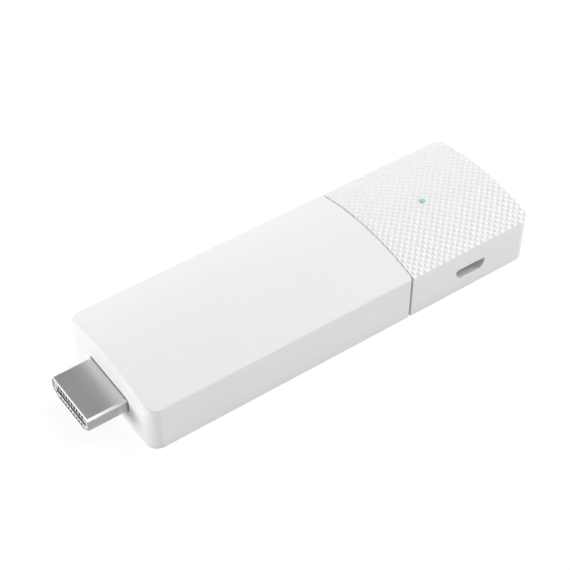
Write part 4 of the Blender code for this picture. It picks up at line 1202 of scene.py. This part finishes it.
carve(rear_cover, piece("hole", turned(light_x, 0.0, hole, LIGHT_STEPS)))
stand_for(smooth(rear_cover), "relief_white_plastic", "rear_cover")


# Light pipe
# A turned rod of tinted clear plastic that carries the diode's glow up through the cover. A flange under the
# roof seats it, and its top is a low dome that stands just above the crown.

LIGHT_ROD = 1.1 * MM
LIGHT_FLANGE = light_high.x - light_low.x
FLANGE_BELOW_CROWN = 1.9 * MM
FLANGE_THICKNESS = 0.6 * MM
DOME_HEIGHT = 0.12 * MM
DOME_PROUD = 0.12 * MM
DOME_STEPS = 8
TEAL = (0.28, 0.58, 0.62, 1.0)
TEAL_PALE = (0.38, 0.66, 0.70, 1.0)
TEAL_CLOUD = 1500.0
TEAL_GLOW = 0.04


def tinted_plastic(place):
    depth = place.noise(TEAL_CLOUD)
    return {
        "Base Color": depth.mix(TEAL, TEAL_PALE),
        "Roughness": 0.15 + 0.1 * depth,
        "Emission Color": depth.mix(TEAL, TEAL_PALE),
        "Emission Strength": TEAL_GLOW,
    }


TINTED_PLASTIC = finish("tinted_plastic", tinted_plastic)
rod, flange = LIGHT_ROD / 2, LIGHT_FLANGE / 2
flange_top = CROWN_TOP - FLANGE_BELOW_CROWN
flange_base = flange_top - FLANGE_THICKNESS
profile = [(rod, light_low.z), (rod, flange_base), (flange, flange_base)]
profile += [(flange, flange_top), (rod, flange_top)]
for sine, cosine in quarter(DOME_STEPS)[:-1]:
    profile.append((rod * cosine, CROWN_TOP + DOME_PROUD - DOME_HEIGHT * (1 - sine)))
light = piece("light_rod", turned(light_x, 0.0, profile, LIGHT_STEPS), TINTED_PLASTIC)
stand_for(smooth(light), "teal_lens", "light_pipe")


# Floor
# A pale studio floor that curves up into a wall all round. The camera and glossy surfaces see it white, and
# it still takes the object's shadow. From below it is clear, so that the underside can be looked at.

FLOOR_REACH = 1.2
COVE_RADIUS = 0.5
WALL_HEIGHT = 1.3
COVE_STEPS = 12
FLOOR_STEPS = 64
FLOOR_PALE = (0.80, 0.80, 0.80, 1.0)
FLOOR_SHADE = (0.17, 0.17, 0.17, 1.0)
FLOOR_GLOW = 0.88

profile = [(FLOOR_REACH * k / COVE_STEPS, 0.0) for k in range(1, COVE_STEPS)]
for sine, cosine in quarter(COVE_STEPS):
    profile.append((FLOOR_REACH + COVE_RADIUS * sine, COVE_RADIUS * (1 - cosine)))
profile.append((FLOOR_REACH + COVE_RADIUS, WALL_HEIGHT))
shape = bmesh.new()
rows = []
for radius, z in profile:
    rows.append([shape.verts.new(point) for point in circle(0.0, 0.0, z, radius, FLOOR_STEPS)])
shape.faces.new(rows[0])
for inner, outer in zip(rows, rows[1:]):
    for i in range(FLOOR_STEPS):
        shape.faces.new((inner[i - 1], outer[i - 1], outer[i], inner[i]))
floor_mesh = bpy.data.meshes.new("floor")
shape.to_mesh(floor_mesh)
shape.free()
floor_mesh.shade_smooth()
floor = bpy.data.objects.new("floor", floor_mesh)
bpy.context.scene.collection.objects.link(floor)
paint = bpy.data.materials.new("studio_floor")
paint.use_nodes = True
paint.node_tree.nodes.clear()
start = Wire(paint.node_tree)
camera_ray = start.add("ShaderNodeLightPath", out="Is Camera Ray")
glossy_ray = start.add("ShaderNodeLightPath", out="Is Glossy Ray")
passing_ray = start.add("ShaderNodeLightPath", out="Is Transmission Ray")
seen = start.math("MAXIMUM", camera_ray, start.math("MAXIMUM", glossy_ray, passing_ray))
shade = start.add("ShaderNodeBsdfDiffuse", {}, {"Color": FLOOR_SHADE})
glow = start.add("ShaderNodeEmission", {}, {"Strength": FLOOR_GLOW})
white = start.add("ShaderNodeAddShader", {}, {0: shade, 1: glow})
pale = start.add("ShaderNodeBsdfDiffuse", {}, {"Color": FLOOR_PALE})
front = start.add("ShaderNodeMixShader", {}, {0: seen, 1: pale, 2: white})
below = start.add("ShaderNodeNewGeometry", out="Backfacing")
clear = start.add("ShaderNodeBsdfTransparent")
both = start.add("ShaderNodeMixShader", {}, {0: below, 1: front, 2: clear})
output = paint.node_tree.nodes.new("ShaderNodeOutputMaterial")
start.put(output.inputs["Surface"], both)
floor_mesh.materials.append(paint)


# Light
# Four soft boxes in an even grey studio. The large one above the rear end lights the tops and rakes across
# the points, and low ones light the near side, the plug end and the far side. A flag of black cloth off the
# front corner, which the camera and the metal do not see, lets that corner fall off.

STUDIO_GREY = (0.442, 0.442, 0.447, 1.0)
FLAG_PLACE = Vector((-0.34, -0.19))
FLAG_WIDTH = 0.42
FLAG_BASE = 0.002
FLAG_TOP = 0.2
FLAG_SHEET = 0.002
CLOTH_WEAVE = 2000.0


def soft_box(name, direction, distance, width, height, power):
    """An area lamp that looks at the object."""
    lamp = bpy.data.lights.new(name, "AREA")
    lamp.shape = "RECTANGLE"
    lamp.size = width
    lamp.size_y = height
    lamp.energy = power
    made = bpy.data.objects.new(name, lamp)
    made.location = direction.normalized() * distance
    made.rotation_mode = "QUATERNION"
    made.rotation_quaternion = (-direction).to_track_quat("-Z", "Y")
    bpy.context.scene.collection.objects.link(made)


soft_box("rear_box", Vector((0.36, 0.0, 0.477)), distance=1.5, width=1.2, height=1.2, power=15.5)
soft_box("near_box", Vector((0.42, -0.56, 0.06)), distance=1.1, width=1.0, height=0.24, power=2.2)
soft_box("front_box", Vector((-0.70, 0.185, 0.06)), distance=1.1, width=0.48, height=0.24, power=6.1)
soft_box("far_box", Vector((-0.45, 0.55, 0.08)), distance=1.1, width=1.4, height=0.24, power=3.1)


def black_cloth(place):
    weave = place.noise(CLOTH_WEAVE)
    return {"Base Color": weave.mix(RESIN_DARK, RESIN_GREY), "Roughness": 0.9}


along = FLAG_PLACE.orthogonal().normalized() * (FLAG_WIDTH / 2)
thick = FLAG_PLACE.normalized() * (FLAG_SHEET / 2)
plan = [FLAG_PLACE + along * end + thick * side for end, side in ((1, 1), (-1, 1), (-1, -1), (1, -1))]
flag = skin([[(x, y, z) for x, y in plan] for z in (FLAG_BASE, FLAG_TOP)])
flag = piece("flag", flag, finish("black_cloth", black_cloth))
flag.visible_camera = False
flag.visible_glossy = False

studio = bpy.data.worlds.new("studio")
studio.use_nodes = True
studio.node_tree.nodes["Background"].inputs["Color"].default_value = STUDIO_GREY
bpy.context.scene.world = studio


# Camera
# A long lens that looks down at the plug end and the near side, with a slight tilt. Its place and its aim
# were worked out from the straight edges of the plug and the casing.

CAMERA_PLACE = Vector((-133.73, -183.99, 240.13)) * MM
CAMERA_AIM = Vector((0.554, 2.102, 6.0)) * MM
CAMERA_ROLL = math.radians(0.59)
CAMERA_LENS = 99.76
CAMERA_SENSOR = 36.0
CAMERA_CLIP = 10.0 * MM

camera_data = bpy.data.cameras.new("camera")
camera_data.lens = CAMERA_LENS
camera_data.sensor_width = CAMERA_SENSOR
camera_data.clip_start = CAMERA_CLIP
camera = bpy.data.objects.new("camera", camera_data)
camera.location = CAMERA_PLACE
camera.rotation_mode = "QUATERNION"
look = (CAMERA_AIM - CAMERA_PLACE).to_track_quat("-Z", "Y")
camera.rotation_quaternion = look @ Quaternion((0.0, 0.0, 1.0), CAMERA_ROLL)
bpy.context.scene.collection.objects.link(camera)
bpy.context.scene.camera = camera
bpy.context.scene.view_settings.view_transform = "Standard"
